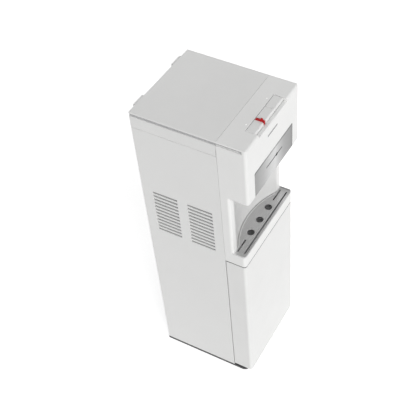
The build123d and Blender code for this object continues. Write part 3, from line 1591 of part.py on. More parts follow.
def door_gasket():
    """The seal round the door's inner panel."""
    half = HALF - 2 * WALL - 1
    z0 = DOOR_BOTTOM + WALL + 1
    z1 = DOOR_TOP - WALL - SEAT_GAP - 0.2
    outer = Pos(0, (z0 + z1) / 2) * Rectangle(2 * half, z1 - z0)
    outer = chamfer(outer.vertices(), GASKET)
    ring = outer - Pos(0, (z0 + z1) / 2) * Rectangle(2 * (half - GASKET), z1 - z0 - 2 * GASKET)
    return front_prism(ring, DOOR_REAR, DOOR_REAR + GASKET_TALL)


def door_hinge_pins():
    """The lower pin with its collar in the base and the upper pin in the band."""
    x, y = DOOR_HINGE_X, DOOR_HINGE_Y
    lower = upright(x, y, BASE_BOTTOM + WALL, DOOR_BOTTOM + DOOR_BOSS_TALL, DOOR_PIN_R)
    collar = Pos(x, y) * RegularPolygon(2 * DOOR_PIN_R, 6)
    lower += prism(collar, BASE_TOP, DOOR_BOTTOM - SEAT_GAP)
    upper = upright(x, y, DOOR_TOP - DOOR_BOSS_TALL + 1, BAND_BOTTOM + 2 * WALL, DOOR_PIN_R)
    return [lower, upper]


def base_tray():
    """The dark base: a hollow tray with rounded front corners and a rim inside the side panels."""
    rear = BACK_INNER - SEAT_GAP
    plan = front_rounded(HALF, LOWER_FRONT + BASE_SETBACK, CABINET_REAR, BASE_CORNER)
    hollow = front_rounded(
        INNER_HALF, LOWER_FRONT + BASE_SETBACK + WALL, CABINET_REAR - WALL, BASE_CORNER - WALL
    )
    tray = prism(plan, BASE_BOTTOM, BASE_TOP) - prism(hollow, BASE_BOTTOM - 1, BASE_TOP - WALL)
    for x, y in foot_places():
        tray += block(
            x - FOOT_R, x + FOOT_R, y - FOOT_R, y + FOOT_R, BASE_BOTTOM, BASE_TOP - WALL + TOUCH_OVERLAP
        )
    front = FLANGE_BACK + SEAT_GAP
    rim = block(-FIT_HALF, FIT_HALF, front, rear, BASE_TOP - TOUCH_OVERLAP, LINER_BOTTOM)
    rim -= block(
        -LINER_HALF + 20,
        LINER_HALF - 20,
        front + 20,
        rear - 20,
        BASE_TOP,
        LINER_BOTTOM + 1,
    )
    tray += rim
    boss = post(DOOR_HINGE_X - 3, DOOR_HINGE_Y, BASE_BOTTOM, BASE_TOP, DOOR_BOSS)
    tray += boss & prism(plan, BASE_BOTTOM, BASE_TOP)
    return tray - upright(
        DOOR_HINGE_X, DOOR_HINGE_Y, BASE_BOTTOM + WALL, BASE_TOP + 1, DOOR_PIN_R + PIN_GAP
    )


def foot_places():
    """The middle of each foot."""
    front = LOWER_FRONT + FOOT_FRONT
    rear = BACK_INNER - FOOT_REAR
    return [(x, y) for x in (-FOOT_X, FOOT_X) for y in (front, rear)]


def rubber_feet():
    """Four rubber pads under the base."""
    pad = chamfer(Rectangle(2 * FOOT_R, 2 * FOOT_R).vertices(), FOOT_R / 2)
    return [prism(Pos(x, y) * pad, 0, FOOT_TALL) for x, y in foot_places()]


def build_parts():
    """Every sub-part by its name, as one solid or a list of solids."""
    parts = {
        "base_tray": base_tray(),
        "rubber_feet": rubber_feet(),
        "side_panel_left": side_panel(-1),
        "side_panel_right": side_panel(1),
        "vent_louvres_left": vent_louvres(-1),
        "vent_louvres_right": vent_louvres(1),
        "back_panel": back_panel(),
        "front_housing": front_housing(),
        "faucet_plate": faucet_plate(),
        "control_panel": control_panel(),
        "status_marks": status_marks(),
        "status_lamps": status_lamps(),
        "control_board": control_board(),
        "drip_tray": drip_tray(),
        "drip_grille": drip_grille(),
        "key_pivot_pin": across(
            -KEY_RECESS_HALF - RIB, KEY_RECESS_HALF + RIB, KEY_PIVOT_Y, KEY_PIVOT_Z, PIVOT_PIN_R
        ),
        "child_lock": child_lock(),
        "lid": lid(),
        "lid_hinge_brackets": lid_hinge_brackets(),
        "lid_hinge_pins": lid_hinge_pins(),
        "well_deck": well_deck(),
        "bottle_pads": bottle_pads(),
        "bottle_probe": bottle_probe(),
        "cold_tank": cold_tank(),
        "tank_insulation": tank_insulation(),
        "tank_stand": tank_stand(),
        "hot_tank": hot_tank(),
        "heater": heater(),
        "thermostats": thermostats(),
        "mid_shelf": mid_shelf(),
        "compressor": compressor(),
        "compressor_mounts": compressor_mounts(),
        "condenser": condenser(),
        "panel_clips": panel_clips(),
        "refrigerant_line": refrigerant_lines(),
        "filter_drier": filter_drier(),
        "water_lines": water_lines(),
        "drain_plug": drain_plug(),
        "cord_gland": cord_gland(),
        "switch_frames": switch_frames(),
        "hot_switch": rocker(switch_places()[0]),
        "cold_switch": rocker(switch_places()[1]),
        "electrics_box": electrics_box(),
        "panel_screws": panel_screws(),
        "cabinet_liner": cabinet_liner(),
        "catch_block": catch_block(),
        "door_shell": door_shell(),
        "door_liner": door_liner(),
        "door_gasket": door_gasket(),
        "door_strike": door_strike(),
        "door_hinge_pins": door_hinge_pins(),
    }
    for name, x in FAUCETS.items():
        parts["faucet_" + name] = faucet(x)
        parts["push_rod_" + name] = push_rod(x)
        parts["key_" + name] = push_key(name)
    return parts


def write_parts():
    """Write one STEP file for each sub-part."""
    os.makedirs("parts", exist_ok=True)
    for name, shape in build_parts().items():
        solids = []
        for piece in shape if isinstance(shape, list) else [shape]:
            solids += piece.solids()
        export_step(Compound(children=solids), os.path.join("parts", name + ".step"))


write_parts()
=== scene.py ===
import json
import math

import bmesh
import bpy
from mathutils import Matrix, Vector


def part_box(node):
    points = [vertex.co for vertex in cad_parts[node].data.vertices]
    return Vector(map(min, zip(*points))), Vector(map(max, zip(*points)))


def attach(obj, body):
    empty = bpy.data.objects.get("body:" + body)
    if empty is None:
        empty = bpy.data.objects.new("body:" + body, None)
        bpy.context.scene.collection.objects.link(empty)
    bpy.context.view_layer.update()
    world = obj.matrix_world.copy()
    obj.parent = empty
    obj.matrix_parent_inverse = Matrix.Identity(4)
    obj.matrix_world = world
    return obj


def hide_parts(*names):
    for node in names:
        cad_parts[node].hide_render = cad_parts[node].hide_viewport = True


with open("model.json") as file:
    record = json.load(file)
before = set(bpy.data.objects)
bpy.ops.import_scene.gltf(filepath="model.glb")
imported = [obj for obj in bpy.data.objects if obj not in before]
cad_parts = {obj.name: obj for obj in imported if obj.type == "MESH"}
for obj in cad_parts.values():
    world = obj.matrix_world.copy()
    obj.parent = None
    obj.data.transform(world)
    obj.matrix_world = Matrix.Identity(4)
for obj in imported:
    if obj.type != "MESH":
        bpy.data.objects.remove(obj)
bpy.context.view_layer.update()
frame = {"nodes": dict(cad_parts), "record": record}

MM = 0.001
SCENE = bpy.context.scene
NODES = frame["nodes"]
SLOT_OF = {s["node"]: s["material_slot"] for s in frame["record"]["subparts"]}
WHITE = (1.0, 1.0, 1.0, 1.0)

# Sockets of a Mix node that mixes colours
MIX_FACTOR, MIX_A, MIX_B = 0, 6, 7
MIX_RESULT = 2

# Nearly all values of a noise lie between these
NOISE_LOW, NOISE_HIGH = 0.3, 0.7

# Rays for each softened edge
EDGE_SAMPLES = 6


# Colours
def srgb(value):
    """One 0-255 display value as linear light."""
    c = value / 255
    return c / 12.92 if c <= 0.04045 else ((c + 0.055) / 1.055) ** 2.4


def tone(r, g=None, b=None):
    """A display colour, 0-255, as a linear RGBA tuple."""
    g = r if g is None else g
    b = r if b is None else b
    return (srgb(r), srgb(g), srgb(b), 1.0)


def greys(*steps):
    """Stops for a ramp of greys, each a place from 0 to 1 and a display value."""
    return [(at, tone(value)) for at, value in steps]


def even(share):
    """A grey with the same linear share in each channel."""
    return (share, share, share, 1)


def shaded(colour, share, lift=0.0):
    """A colour with each channel times a share, plus a lift, and never over white."""
    return tuple(min(1.0, c * share + lift) for c in colour[:3]) + (1,)


# Node trees
def fill(node, values):
    """Set a node's inputs by name, with _ in place of a space."""
    for key, value in values.items():
        node.inputs[key.replace("_", " ")].default_value = value


class Nodes:
    """A node tree with short calls for its nodes."""

    def __init__(self, tree):
        self.tree = tree
        tree.nodes.clear()

    def join(self, a, out, b, into):
        """Link an output to an input, each by name or number."""
        self.tree.links.new(a.outputs[out], b.inputs[into])

    def node(self, kind, **values):
        """A new node of a kind, with some inputs set."""
        n = self.tree.nodes.new("ShaderNode" + kind)
        fill(n, values)
        return n

    def combine(self, operation, a, out_a, b, out_b):
        """One value from two."""
        n = self.node("Math")
        n.operation = operation
        self.join(a, out_a, n, 0)
        self.join(b, out_b, n, 1)
        return n

    def background_rays(self):
        """1 for rays that show the background, straight, mirrored or let through, else 0."""
        path = self.node("LightPath")
        seen = self.combine("MAXIMUM", path, "Is Camera Ray", path, "Is Glossy Ray")
        return self.combine("MAXIMUM", seen, 0, path, "Is Transmission Ray")


class Shader(Nodes):
    """A material with one principled surface."""

    def __init__(self, name):
        self.mat = bpy.data.materials.new(name)
        self.mat.use_nodes = True
        super().__init__(self.mat.node_tree)
        self.out = self.node("OutputMaterial")
        self.bsdf = self.node("BsdfPrincipled")
        self.join(self.bsdf, 0, self.out, "Surface")
        self.coords = self.node("TexCoord")

    def noise(self, size, detail=2.0, rough=0.5, stretch=(1, 1, 1)):
        """Noise whose cells are about size metres, stretched along the axes."""
        place = self.node("Mapping", Scale=stretch)
        self.join(self.coords, "Object", place, "Vector")
        n = self.node("TexNoise", Scale=1.0 / size, Detail=detail, Roughness=rough)
        self.join(place, 0, n, "Vector")
        return n

    def axes(self):
        """The place on the object as X, Y and Z."""
        split = self.node("SeparateXYZ")
        self.join(self.coords, "Object", split, 0)
        return split

    def rise(self, source, out, start, end):
        """A value that goes from 0 at start to 1 at end."""
        n = self.node("MapRange", From_Min=start, From_Max=end)
        self.join(source, out, n, "Value")
        return n

    def ramp(self, source, out, stops):
        """Colours along a value, each stop a place from 0 to 1 and a colour."""
        n = self.node("ValToRGB")
        self.join(source, out, n, "Fac")
        elements = n.color_ramp.elements
        while len(elements) < len(stops):
            elements.new(0.5)
        for element, (at, colour) in zip(elements, stops):
            element.position = at
            element.color = colour
        return n

    def blend(self, source, out, first, last, start=NOISE_LOW, end=NOISE_HIGH):
        """Two colours along a value."""
        return self.ramp(source, out, [(start, first), (end, last)])

    def multiply(self, base, tint):
        """Two colours, given as output sockets, times each other."""
        n = self.node("Mix")
        n.data_type = "RGBA"
        n.blend_type = "MULTIPLY"
        n.inputs[MIX_FACTOR].default_value = 1.0
        self.tree.links.new(base, n.inputs[MIX_A])
        self.tree.links.new(tint, n.inputs[MIX_B])
        return n

    def bump(self, source, out, strength, height, edge=None):
        """Relief on the surface, and edges softened as by a moulded radius."""
        soft = None
        if edge is not None:
            soft = self.node("Bevel", Radius=edge)
            soft.samples = EDGE_SAMPLES
        n = self.node("Bump", Strength=strength, Distance=height)
        self.join(source, out, n, "Height")
        if soft is not None:
            self.join(soft, 0, n, "Normal")
        self.join(n, 0, self.bsdf, "Normal")

    def paint(self, source, out="Color"):
        """The surface's colour."""
        self.join(source, out, self.bsdf, "Base Color")

    def polish(self, source, low, high):
        """Roughness that follows a noise."""
        n = self.node("MapRange", From_Min=NOISE_LOW, From_Max=NOISE_HIGH, To_Min=low, To_Max=high)
        self.join(source, "Fac", n, "Value")
        self.join(n, 0, self.bsdf, "Roughness")

    def surface(self, **values):
        """Values that are the same all over the surface."""
        fill(self.bsdf, values)


# Kinds of material, with sizes in metres
def moulded(name, colour, rough, grain, edge, spread=0.012):
    """Moulded plastic: faint cloudiness, fine grain and softened edges."""
    s = Shader(name)
    cloud = s.noise(0.09, detail=3)
    s.paint(s.blend(cloud, "Fac", shaded(colour, 1 - spread), shaded(colour, 1 + spread)))
    s.polish(s.noise(0.02, detail=4), low=rough - 0.04, high=rough + 0.05)
    s.bump(s.noise(grain), "Fac", strength=0.12, height=0.02 * MM, edge=edge)
    return s


# The painted shade of a recess starts outside its sides and is full inside them
RECESS_OUT, RECESS_IN, RECESS_LEVEL = 8 * MM, 4 * MM, 1 * MM


def recess(s, half, low, high, share):
    """Paint shade inside a recess by leaving a share of the colour: within half of the middle, low to
    high.
    """
    place = s.axes()
    across = s.node("Math")
    across.operation = "ABSOLUTE"
    s.join(place, "X", across, 0)
    inside = s.rise(across, 0, half + RECESS_OUT, half - RECESS_IN)
    for start, end in ((low, low + RECESS_LEVEL), (high, high - RECESS_LEVEL)):
        inside = s.combine("MULTIPLY", inside, 0, s.rise(place, "Z", start, end), 0)
    tint = s.blend(inside, 0, WHITE, even(share), start=0.0, end=1.0)
    base = s.bsdf.inputs["Base Color"].links[0].from_socket
    s.paint(s.multiply(base, tint.outputs["Color"]), MIX_RESULT)


def painted_light_by_height(name, low, high, at):
    """Moulded plastic with one colour below a height and one above it, as painted light and painted
    shade.
    """
    s = moulded(name, high, rough=0.45, grain=0.0009, edge=0.5 * MM)
    soft = 4 * MM
    level = s.rise(s.axes(), "Z", at - soft, at + soft)
    s.paint(s.blend(level, 0, low, high, start=0.0, end=1.0))
    return s


def painted(name, colour, rough, peel=2.2 * MM):
    """Coated sheet: a slight orange peel over smooth steel."""
    s = Shader(name)
    s.paint(s.blend(s.noise(0.15), "Fac", shaded(colour, 0.985), colour))
    s.polish(s.noise(0.03, detail=3), low=rough - 0.03, high=rough + 0.05)
    s.bump(s.noise(peel, detail=1), "Fac", strength=0.15, height=0.03 * MM, edge=0.8 * MM)
    return s


# Brushed metal: how far its stops reach each way, its streaks and the soft edges of its painted strip,
# shade on the panel and a highlight on the grille
BRUSH_HALF = 150 * MM
STREAK_WIDE = 0.0006
STREAK_ALONG = (0.02, 1, 1)
STREAK_DARK, STREAK_LIGHT = 0.82, 1.12
PAINTED_STRIP_SOFT_Z, PAINTED_STRIP_SOFT_Y = 0.2 * MM, 2 * MM


def brushed(name, stops, rough, edge=0.4 * MM, painted_strip=None):
    """Brushed metal: streaks along X over a colour that may vary along X, which on the panel and the
    grille is painted reflection.

    painted_strip is a height, the share of the colour that is left above it, and the place
    along Y behind which this holds: painted shade on the panel and a painted highlight on the grille.
    """
    s = Shader(name)
    place = s.axes()
    base = s.ramp(s.rise(place, "X", -BRUSH_HALF, BRUSH_HALF), 0, stops)
    lines = s.noise(STREAK_WIDE, detail=3, rough=0.6, stretch=STREAK_ALONG)
    tint = s.blend(lines, "Fac", even(STREAK_DARK), even(STREAK_LIGHT), start=0.25, end=0.75)
    mix = s.multiply(base.outputs["Color"], tint.outputs["Color"])
    # The strip above a height: painted shade on the panel, a painted highlight on the grille
    if painted_strip is not None:
        height, share, behind = painted_strip
        above = s.rise(place, "Z", height - PAINTED_STRIP_SOFT_Z, height + PAINTED_STRIP_SOFT_Z)
        back = s.rise(place, "Y", behind - PAINTED_STRIP_SOFT_Y, behind + PAINTED_STRIP_SOFT_Y)
        both = s.combine("MULTIPLY", above, 0, back, 0)
        strip = s.blend(both, 0, WHITE, even(share), start=0.0, end=1.0)
        mix = s.multiply(mix.outputs[MIX_RESULT], strip.outputs["Color"])
    s.paint(mix, MIX_RESULT)
    s.surface(Metallic=1.0)
    s.polish(lines, low=rough - 0.06, high=rough + 0.08)
    s.bump(lines, "Fac", strength=0.1, height=0.02 * MM, edge=edge)
    return s


def rubber(name, colour):
    """Soft rubber: dull, finely grained and a little dusty."""
    s = Shader(name)
    dust = s.noise(0.004, detail=4)
    s.paint(s.blend(dust, "Fac", colour, shaded(colour, 1.5, lift=0.01), start=0.45, end=0.8))
    s.surface(Roughness=0.7)
    s.bump(s.noise(0.0006, detail=3), "Fac", strength=0.3, height=0.05 * MM, edge=0.5 * MM)
    return s


def foam(name, colour):
    """Moulded bead foam: close round cells."""
    s = Shader(name)
    cells = s.node("TexVoronoi", Scale=260.0)
    s.join(s.coords, "Object", cells, "Vector")
    s.paint(s.blend(cells, "Distance", colour, shaded(colour, 0.9), start=0.2, end=0.8))
    s.surface(Roughness=0.85)
    s.bump(cells, "Distance", strength=0.4, height=0.2 * MM)
    return s


def metal(name, colour, rough, **values):
    """Plated or enamelled metal with a fine uneven skin."""
    s = Shader(name)
    patch = s.noise(0.012, detail=4)
    s.paint(s.blend(patch, "Fac", shaded(colour, 0.8), colour))
    s.polish(patch, low=rough - 0.05, high=rough + 0.1)
    s.bump(s.noise(0.0015), "Fac", strength=0.2, height=0.03 * MM, edge=0.3 * MM)
    s.surface(**values)
    return s


# White mouldings and coated sheet
HOUSING_TONE = tone(234, 234, 233)
PANEL_LOW, PANEL_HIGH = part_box("control_panel")
GRILLE_LOW, GRILLE_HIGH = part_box("drip_grille")
ALCOVE_HALF = 126 * MM

white = moulded("white_moulding", tone(228, 228, 227), rough=0.34, grain=0.0007, edge=1 * MM)
housing_white = moulded("housing_moulding_painted_shade", HOUSING_TONE, rough=0.32, grain=0.0007, edge=1 * MM)
# Painted shade: the alcove under the head keeps only a share of the housing's colour
recess(housing_white, ALCOVE_HALF, GRILLE_LOW.z, PANEL_LOW.z, share=0.78)
corner_white = moulded("corner_moulding", HOUSING_TONE, rough=0.32, grain=0.0007, edge=0.02 * MM)
panel_white = painted("white_panel", tone(230, 230, 229), rough=0.38)
inner = moulded("inner_moulding", tone(222, 223, 221), rough=0.45, grain=0.0009, edge=0.5 * MM)
# Painted shade: the louvres behind the vent slots are grey for the shade seen through the slots
louvre_shade_grey = moulded("louvre_painted_shade", tone(160), rough=0.45, grain=0.0009, edge=0.4 * MM)

# Brushed plates, whose greys run from the left side to the right; on the panel and the grille these
# greys are painted reflection.
# The panel's strip along the top is darker as painted shade, and the grille's raised rim is brighter as
# a painted highlight except along its front
AHEAD_OF_PART = -1.0
PANEL_PAINTED_SHADE = (PANEL_HIGH.z - 6 * MM, 0.55, AHEAD_OF_PART)
GRILLE_PAINTED_HIGHLIGHT = (GRILLE_HIGH.z - 0.5 * MM, 1.45, -122 * MM)

# Painted reflection in the panel's greys, and painted shade in its strip along the top
panel_metal = brushed(
    "brushed_panel_painted_light",
    greys(
        (0.0, 140), (0.14, 150), (0.3, 174), (0.42, 198), (0.52, 208),
        (0.6, 186), (0.7, 160), (0.82, 146), (0.9, 116), (1.0, 96),
    ),
    rough=0.34, painted_strip=PANEL_PAINTED_SHADE,
)
# Painted reflection in the grille's greys, and a painted highlight on its raised rim
grille_metal = brushed(
    "brushed_grille_painted_light",
    greys((0.0, 206), (0.45, 198), (0.7, 190), (0.86, 192), (1.0, 150)),
    rough=0.36, painted_strip=GRILLE_PAINTED_HIGHLIGHT,
)
badge = brushed("badge_plate", greys((0.0, 146), (1.0, 152)), rough=0.3, edge=0.15 * MM)

# Dark, coloured and clear mouldings
TRAY_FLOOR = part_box("drip_tray")[0].z + 9 * MM

# Painted light and shade: the tray's floor is painted light and its walls above it painted dark as
# shade
tray_dark = painted_light_by_height("tray_painted_light", tone(226, 226, 227), tone(110, 110, 112), TRAY_FLOOR)
base_dark = moulded("base_moulding", tone(46, 46, 48), rough=0.5, grain=0.0009, edge=0.8 * MM)
mark = moulded("dark_window", tone(84, 84, 86), rough=0.45, grain=0.002, edge=0.1 * MM)
mark.surface(Specular_IOR_Level=0.1)
dot_black = moulded("dark_dot", tone(14, 14, 15), rough=0.5, grain=0.002, edge=0.1 * MM)
dot_black.surface(Specular_IOR_Level=0.05)
lamp = moulded("lamp_lens", tone(250, 250, 248), rough=0.15, grain=0.002, edge=0.3 * MM)
lamp.surface(Emission_Color=WHITE, Emission_Strength=0.2)
red = moulded("red_slide", tone(180, 5, 14), rough=0.35, grain=0.0006, edge=0.5 * MM, spread=0.03)
red.surface(Specular_IOR_Level=0.2)
tube_skin = moulded("soft_tube", tone(222, 224, 218), rough=0.35, grain=0.003, edge=0.2 * MM)
board = moulded("circuit_board", tone(28, 92, 58), rough=0.35, grain=0.0015, edge=0.1 * MM, spread=0.06)
tank = moulded("tank_moulding", tone(212, 216, 219), rough=0.4, grain=0.001, edge=1.5 * MM)

# Metal, rubber and foam
steel = metal("plated_steel", tone(186, 187, 190), rough=0.3, Metallic=1.0)
copper = metal("copper_tube", tone(204, 138, 100), rough=0.3, Metallic=1.0)
black_metal = metal("black_enamel", tone(42, 42, 43), rough=0.32)
sheet = painted("coated_sheet", tone(176, 178, 180), rough=0.42, peel=1.6 * MM)
black_rubber = rubber("black_rubber", tone(34))
# Painted shade: the grey strips in the grip grooves stand for the grooves' shadow
groove_shade_grey = rubber("groove_painted_shade", tone(170, 170, 171))
seal_grey = rubber("seal_rubber", tone(78, 78, 79))
bead_foam = foam("bead_foam", tone(232, 230, 220))

SLOT_LOOK = {
    "white_plastic": white, "white_panel": panel_white, "inner_plastic": inner,
    "panel_metal": panel_metal, "grille_metal": grille_metal, "tray_plastic": tray_dark,
    "dark_plastic": base_dark, "mark_dark": mark, "lamp_clear": lamp, "lock_red": red,
    "black_rubber": black_rubber, "soft_tube": tube_skin, "board_green": board,
    "bright_steel": steel, "sheet_steel": sheet, "tank_plastic": tank,
    "foam_jacket": bead_foam, "black_metal": black_metal, "copper": copper,
}
NODE_LOOK = {
    "front_housing": housing_white,
    "vent_louvres_left": louvre_shade_grey,
    "vent_louvres_right": louvre_shade_grey,
}

for name, obj in NODES.items():
    look = NODE_LOOK.get(name, SLOT_LOOK[SLOT_OF[name]])
    obj.data.materials.clear()
    obj.data.materials.append(look.mat)


# Pieces of the scene
def mesh_of(bm, name, smooth=False):
    """A mesh from a bmesh, which is freed."""
    mesh = bpy.data.meshes.new(name)
    bm.to_mesh(mesh)
    bm.free()
    for face in mesh.polygons:
        face.use_smooth = smooth
    return mesh


def piece(name, bm, look, body, replaced=(), smooth=False):
    """A visible piece on a body, which may stand in for CAD nodes."""
    obj = bpy.data.objects.new(name, mesh_of(bm, name, smooth))
    SCENE.collection.objects.link(obj)
    obj.data.materials.append(look.mat)
    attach(obj, body)
    if replaced:
        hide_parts(*replaced)


def join_rings(bm, rings):
    """Faces from each ring of vertices to the next."""
    for a, b in zip(rings, rings[1:]):
        for i in range(len(a)):
            j = (i + 1) % len(a)
            bm.faces.new((a[i], a[j], b[j], b[i]))


def close_rings(bm, rings):
    """Faces from ring to ring, with both ends closed."""
    join_rings(bm, rings)
    bm.faces.new(rings[0])
    bm.faces.new(rings[-1])
    bmesh.ops.recalc_face_normals(bm, faces=bm.faces)


def circle(sides):
    """The angles of a circle's corners."""
    return [2 * math.pi * k / sides for k in range(sides)]


# Plates on the head's front
PLATE_STEPS = 6
BADGE_SINK = 0.1 * MM
BADGE_LEFT, BADGE_RIGHT = -33 * MM, 22 * MM
BADGE_LOW, BADGE_HIGH = 994.4 * MM, 1000.6 * MM
STATUS_SINK = 0.15 * MM
STATUS_DOWN = 1.2 * MM
STATUS_HALF = 2.2 * MM
DOT_LEFT, DOT_RIGHT = 9.5 * MM, 20.5 * MM
DOT_HALF = 4.5 * MM


def rounded_plate(x0, x1, z0, z1, back, proud, radius, bevel):
    """A plate that stands proud of its back, with round corners and a bevelled edge."""
    bm = bmesh.new()
    corners = ((x1, z1, 1, 1, 0), (x0, z1, -1, 1, 90), (x0, z0, -1, -1, 180), (x1, z0, 1, -1, 270))
    rings = []
    for inset, depth in ((0, 0.0), (0, proud - bevel), (bevel, proud)):
        r = radius - inset
        ring = []
        for cx, cz, sx, sz, start in corners:
            for step in range(PLATE_STEPS + 1):
                a = math.radians(start + 90 * step / PLATE_STEPS)
                x = cx - sx * radius + r * math.cos(a)
                z = cz - sz * radius + r * math.sin(a)
                ring.append(bm.verts.new((x, back - depth, z)))
        rings.append(ring)
    close_rings(bm, rings)
    return bm


def make_badge():
    """The blank badge, a bare plate just proud of the head's front."""
    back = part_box("front_housing")[0].y + BADGE_SINK
    bm = rounded_plate(
        BADGE_LEFT, BADGE_RIGHT, BADGE_LOW, BADGE_HIGH, back,
        proud=0.2 * MM, radius=0.9 * MM, bevel=0.06 * MM,
    )
    piece("badge_plate", bm, badge, "cabinet")


def make_status_window():
    """The status line and its darker dot, let into the panel."""
    lo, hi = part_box("status_marks")
    middle = hi.z - STATUS_DOWN
    back = lo.y + STATUS_SINK
    bm = rounded_plate(
        lo.x, hi.x, middle - STATUS_HALF, middle + STATUS_HALF, back,
        proud=0.18 * MM, radius=1.4 * MM, bevel=0.05 * MM,
    )
    piece("status_line", bm, mark, "cabinet", ("status_marks",))
    bm = rounded_plate(
        DOT_LEFT, DOT_RIGHT, middle - DOT_HALF, middle + DOT_HALF, back,
        proud=0.22 * MM, radius=3.9 * MM, bevel=0.05 * MM,
    )
    piece("status_dot", bm, dot_black, "cabinet")


# Grip grooves under the top's side edges, as part.py cuts them, with a dark strip of painted shade in
# each
GROOVE_DOWN = 3.5 * MM
GROOVE_TALL = 9 * MM
GROOVE_DEEP = 4.5 * MM
SHADE_STRIP_GAP = 0.1 * MM
SEAM_GAP = 1 * MM
SHADE_STRIP_REAR = 168 * MM
SHADE_STRIP_FRONT = 14.5 * MM
HEAD_SHADE_STRIP_TALL = 6 * MM
RIB_PITCH = 1.5 * MM
RIB_PROUD = 0.25 * MM
RIB_EDGE = 0.6 * MM
FEWEST_RIBS = 8


def ribbed_shade_strip(x, side, y0, y1, z0, z1, thick):
    """A dark strip of painted shade with fine upright ribs, its back at x and its face towards the
    side.
    """
    bm = bmesh.new()
    count = max(FEWEST_RIBS, int((y1 - y0) / RIB_PITCH))
    rings = []
    for i in range(count + 1):
        y = y0 + (y1 - y0) * i / count
        face = x + side * (thick + (RIB_PROUD if i % 2 else 0.0))
        edge = face - side * RIB_EDGE
        rings.append([bm.verts.new(v) for v in (
            (x, y, z0), (edge, y, z0), (face, y, z0 + RIB_EDGE),
            (face, y, z1 - RIB_EDGE), (edge, y, z1), (x, y, z1),
        )])
    close_rings(bm, rings)
    return bm


def make_groove_shade_strips():
    """The dark line under the top edge: a dark strip of painted shade seated in each groove."""
    lid_lo, lid_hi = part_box("lid")
    head_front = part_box("front_housing")[0].y + SHADE_STRIP_FRONT
    back = lid_hi.x - GROOVE_DEEP
    groove_top = lid_hi.z - GROOVE_DOWN
    top = groove_top - SHADE_STRIP_GAP
    lid_low = groove_top - GROOVE_TALL + SHADE_STRIP_GAP
    head_low = groove_top - HEAD_SHADE_STRIP_TALL
    seam = lid_lo.y
    for side, end in ((-1, "left"), (1, "right")):
        x = side * back
        bm = ribbed_shade_strip(x, side, seam + SEAM_GAP, SHADE_STRIP_REAR, lid_low, top, thick=2.6 * MM)
        piece("lid_groove_shade_" + end, bm, groove_shade_grey, "lid")
        bm = ribbed_shade_strip(x, side, head_front, seam - SEAM_GAP, head_low, top, thick=2.2 * MM)
        piece("head_groove_shade_" + end, bm, groove_shade_grey, "cabinet")


# Front corners of the head: the radius that part.py draws and the sharper one of the photo
CORNER_DRAWN = 19 * MM
CORNER_SEEN = 9 * MM
CORNER_SINK = 0.15 * MM
CORNER_STEPS = 32
TOP_FRONT_EDGE = 6.5 * MM
TOP_SIDE_EDGE = 3 * MM
GROOVE_PAST_CORNER = 6 * MM
# The angle left open at each end of a corner piece, in radians
CORNER_MARGIN = 0.046


def edge_drop(height, top, radius):
    """How far a rounded top edge has drawn back from its face at a height."""
    rise = max(0.0, height - top + radius)
    return radius - math.sqrt(max(0.0, radius**2 - rise**2))


def corner_reach(a, reach_side, reach_front):
    """How far the sharper corner reaches from the middle of the drawn one, at an angle."""
    reach = min(reach_side / math.cos(a), reach_front / math.sin(a))
    shift = CORNER_DRAWN - CORNER_SEEN
    middle = shift * (math.cos(a) + math.sin(a))
    spread = middle**2 - 2 * shift**2 + CORNER_SEEN**2
    if spread <= 0:
        return reach
    arc = middle + math.sqrt(spread)
    on_arc = min(math.cos(a), math.sin(a)) * arc > shift
    return min(reach, arc) if on_arc else reach


def corner_ring(x, y, z, top, side, first):
    """The sliver between the two corners at a height, from the side round to the front.

    It starts at the angle first or where the top's rounded edge lets it, if that is later.
    """
    reach_side = CORNER_DRAWN - edge_drop(z, top, TOP_SIDE_EDGE)
    reach_front = CORNER_DRAWN - edge_drop(z, top, TOP_FRONT_EDGE)
    start = max(first, math.acos(reach_side / CORNER_DRAWN) + CORNER_MARGIN)
    end = math.asin(reach_front / CORNER_DRAWN) - CORNER_MARGIN
    outer, sunk = [], []
    for k in range(CORNER_STEPS + 1):
        a = start + (end - start) * k / CORNER_STEPS
        reach = corner_reach(a, reach_side, reach_front)
        for ring, r in ((outer, reach), (sunk, CORNER_DRAWN - CORNER_SINK)):
            ring.append((x + side * r * math.cos(a), y - r * math.sin(a), z))
    return outer + sunk[::-1]


def make_head_corners():
    """Sharper front corners over the head's drawn ones, open at the grip groove."""
    lo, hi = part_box("front_housing")
    top = hi.z
    groove_low, groove_high = top - GROOVE_DOWN - GROOVE_TALL, top - GROOVE_DOWN
    beside_groove = math.atan2(GROOVE_PAST_CORNER, CORNER_DRAWN)
    stages = (
        (PANEL_LOW.z, groove_low, 0.0, 1),
        (groove_low, groove_high, beside_groove, 6),
        (groove_high, top, 0.0, 8),
    )
    y = lo.y + CORNER_DRAWN
    for side, end in ((-1, "left"), (1, "right")):
        x = side * (hi.x - CORNER_DRAWN)
        bm = bmesh.new()
        for low, high, first, steps in stages:
            rings = []
            for k in range(steps + 1):
                z = low + (high - low) * k / steps
                rings.append([bm.verts.new(v) for v in corner_ring(x, y, z, top, side, first)])
            close_rings(bm, rings)
        piece("head_corner_" + end, bm, corner_white, "cabinet")


# Seal on the door's top edge
SEAL_INSET = 0.4 * MM
SEAL_WIDE = 4 * MM
SEAL_TALL = 2.4 * MM
SEAL_SINK = 0.05 * MM
SEAL_CORNER = 9.1 * MM
SEAL_REAR_GAP = 2 * MM
SEAL_SLOPE = 0.5 * MM
SEAL_SHARE = 0.15
SEAL_TURNS = 8


def plan_corner(half, front, rear, corner):
    """A plan line from the left rear round both front corners to the right rear."""
    line = [(-half, rear)]
    for cx, start in ((-half + corner, 180), (half - corner, 270)):
        for i in range(SEAL_TURNS + 1):
            a = math.radians(start + 90 * i / SEAL_TURNS)
            line.append((cx + corner * math.cos(a), front + corner + corner * math.sin(a)))
    line.append((half, rear))
    return line


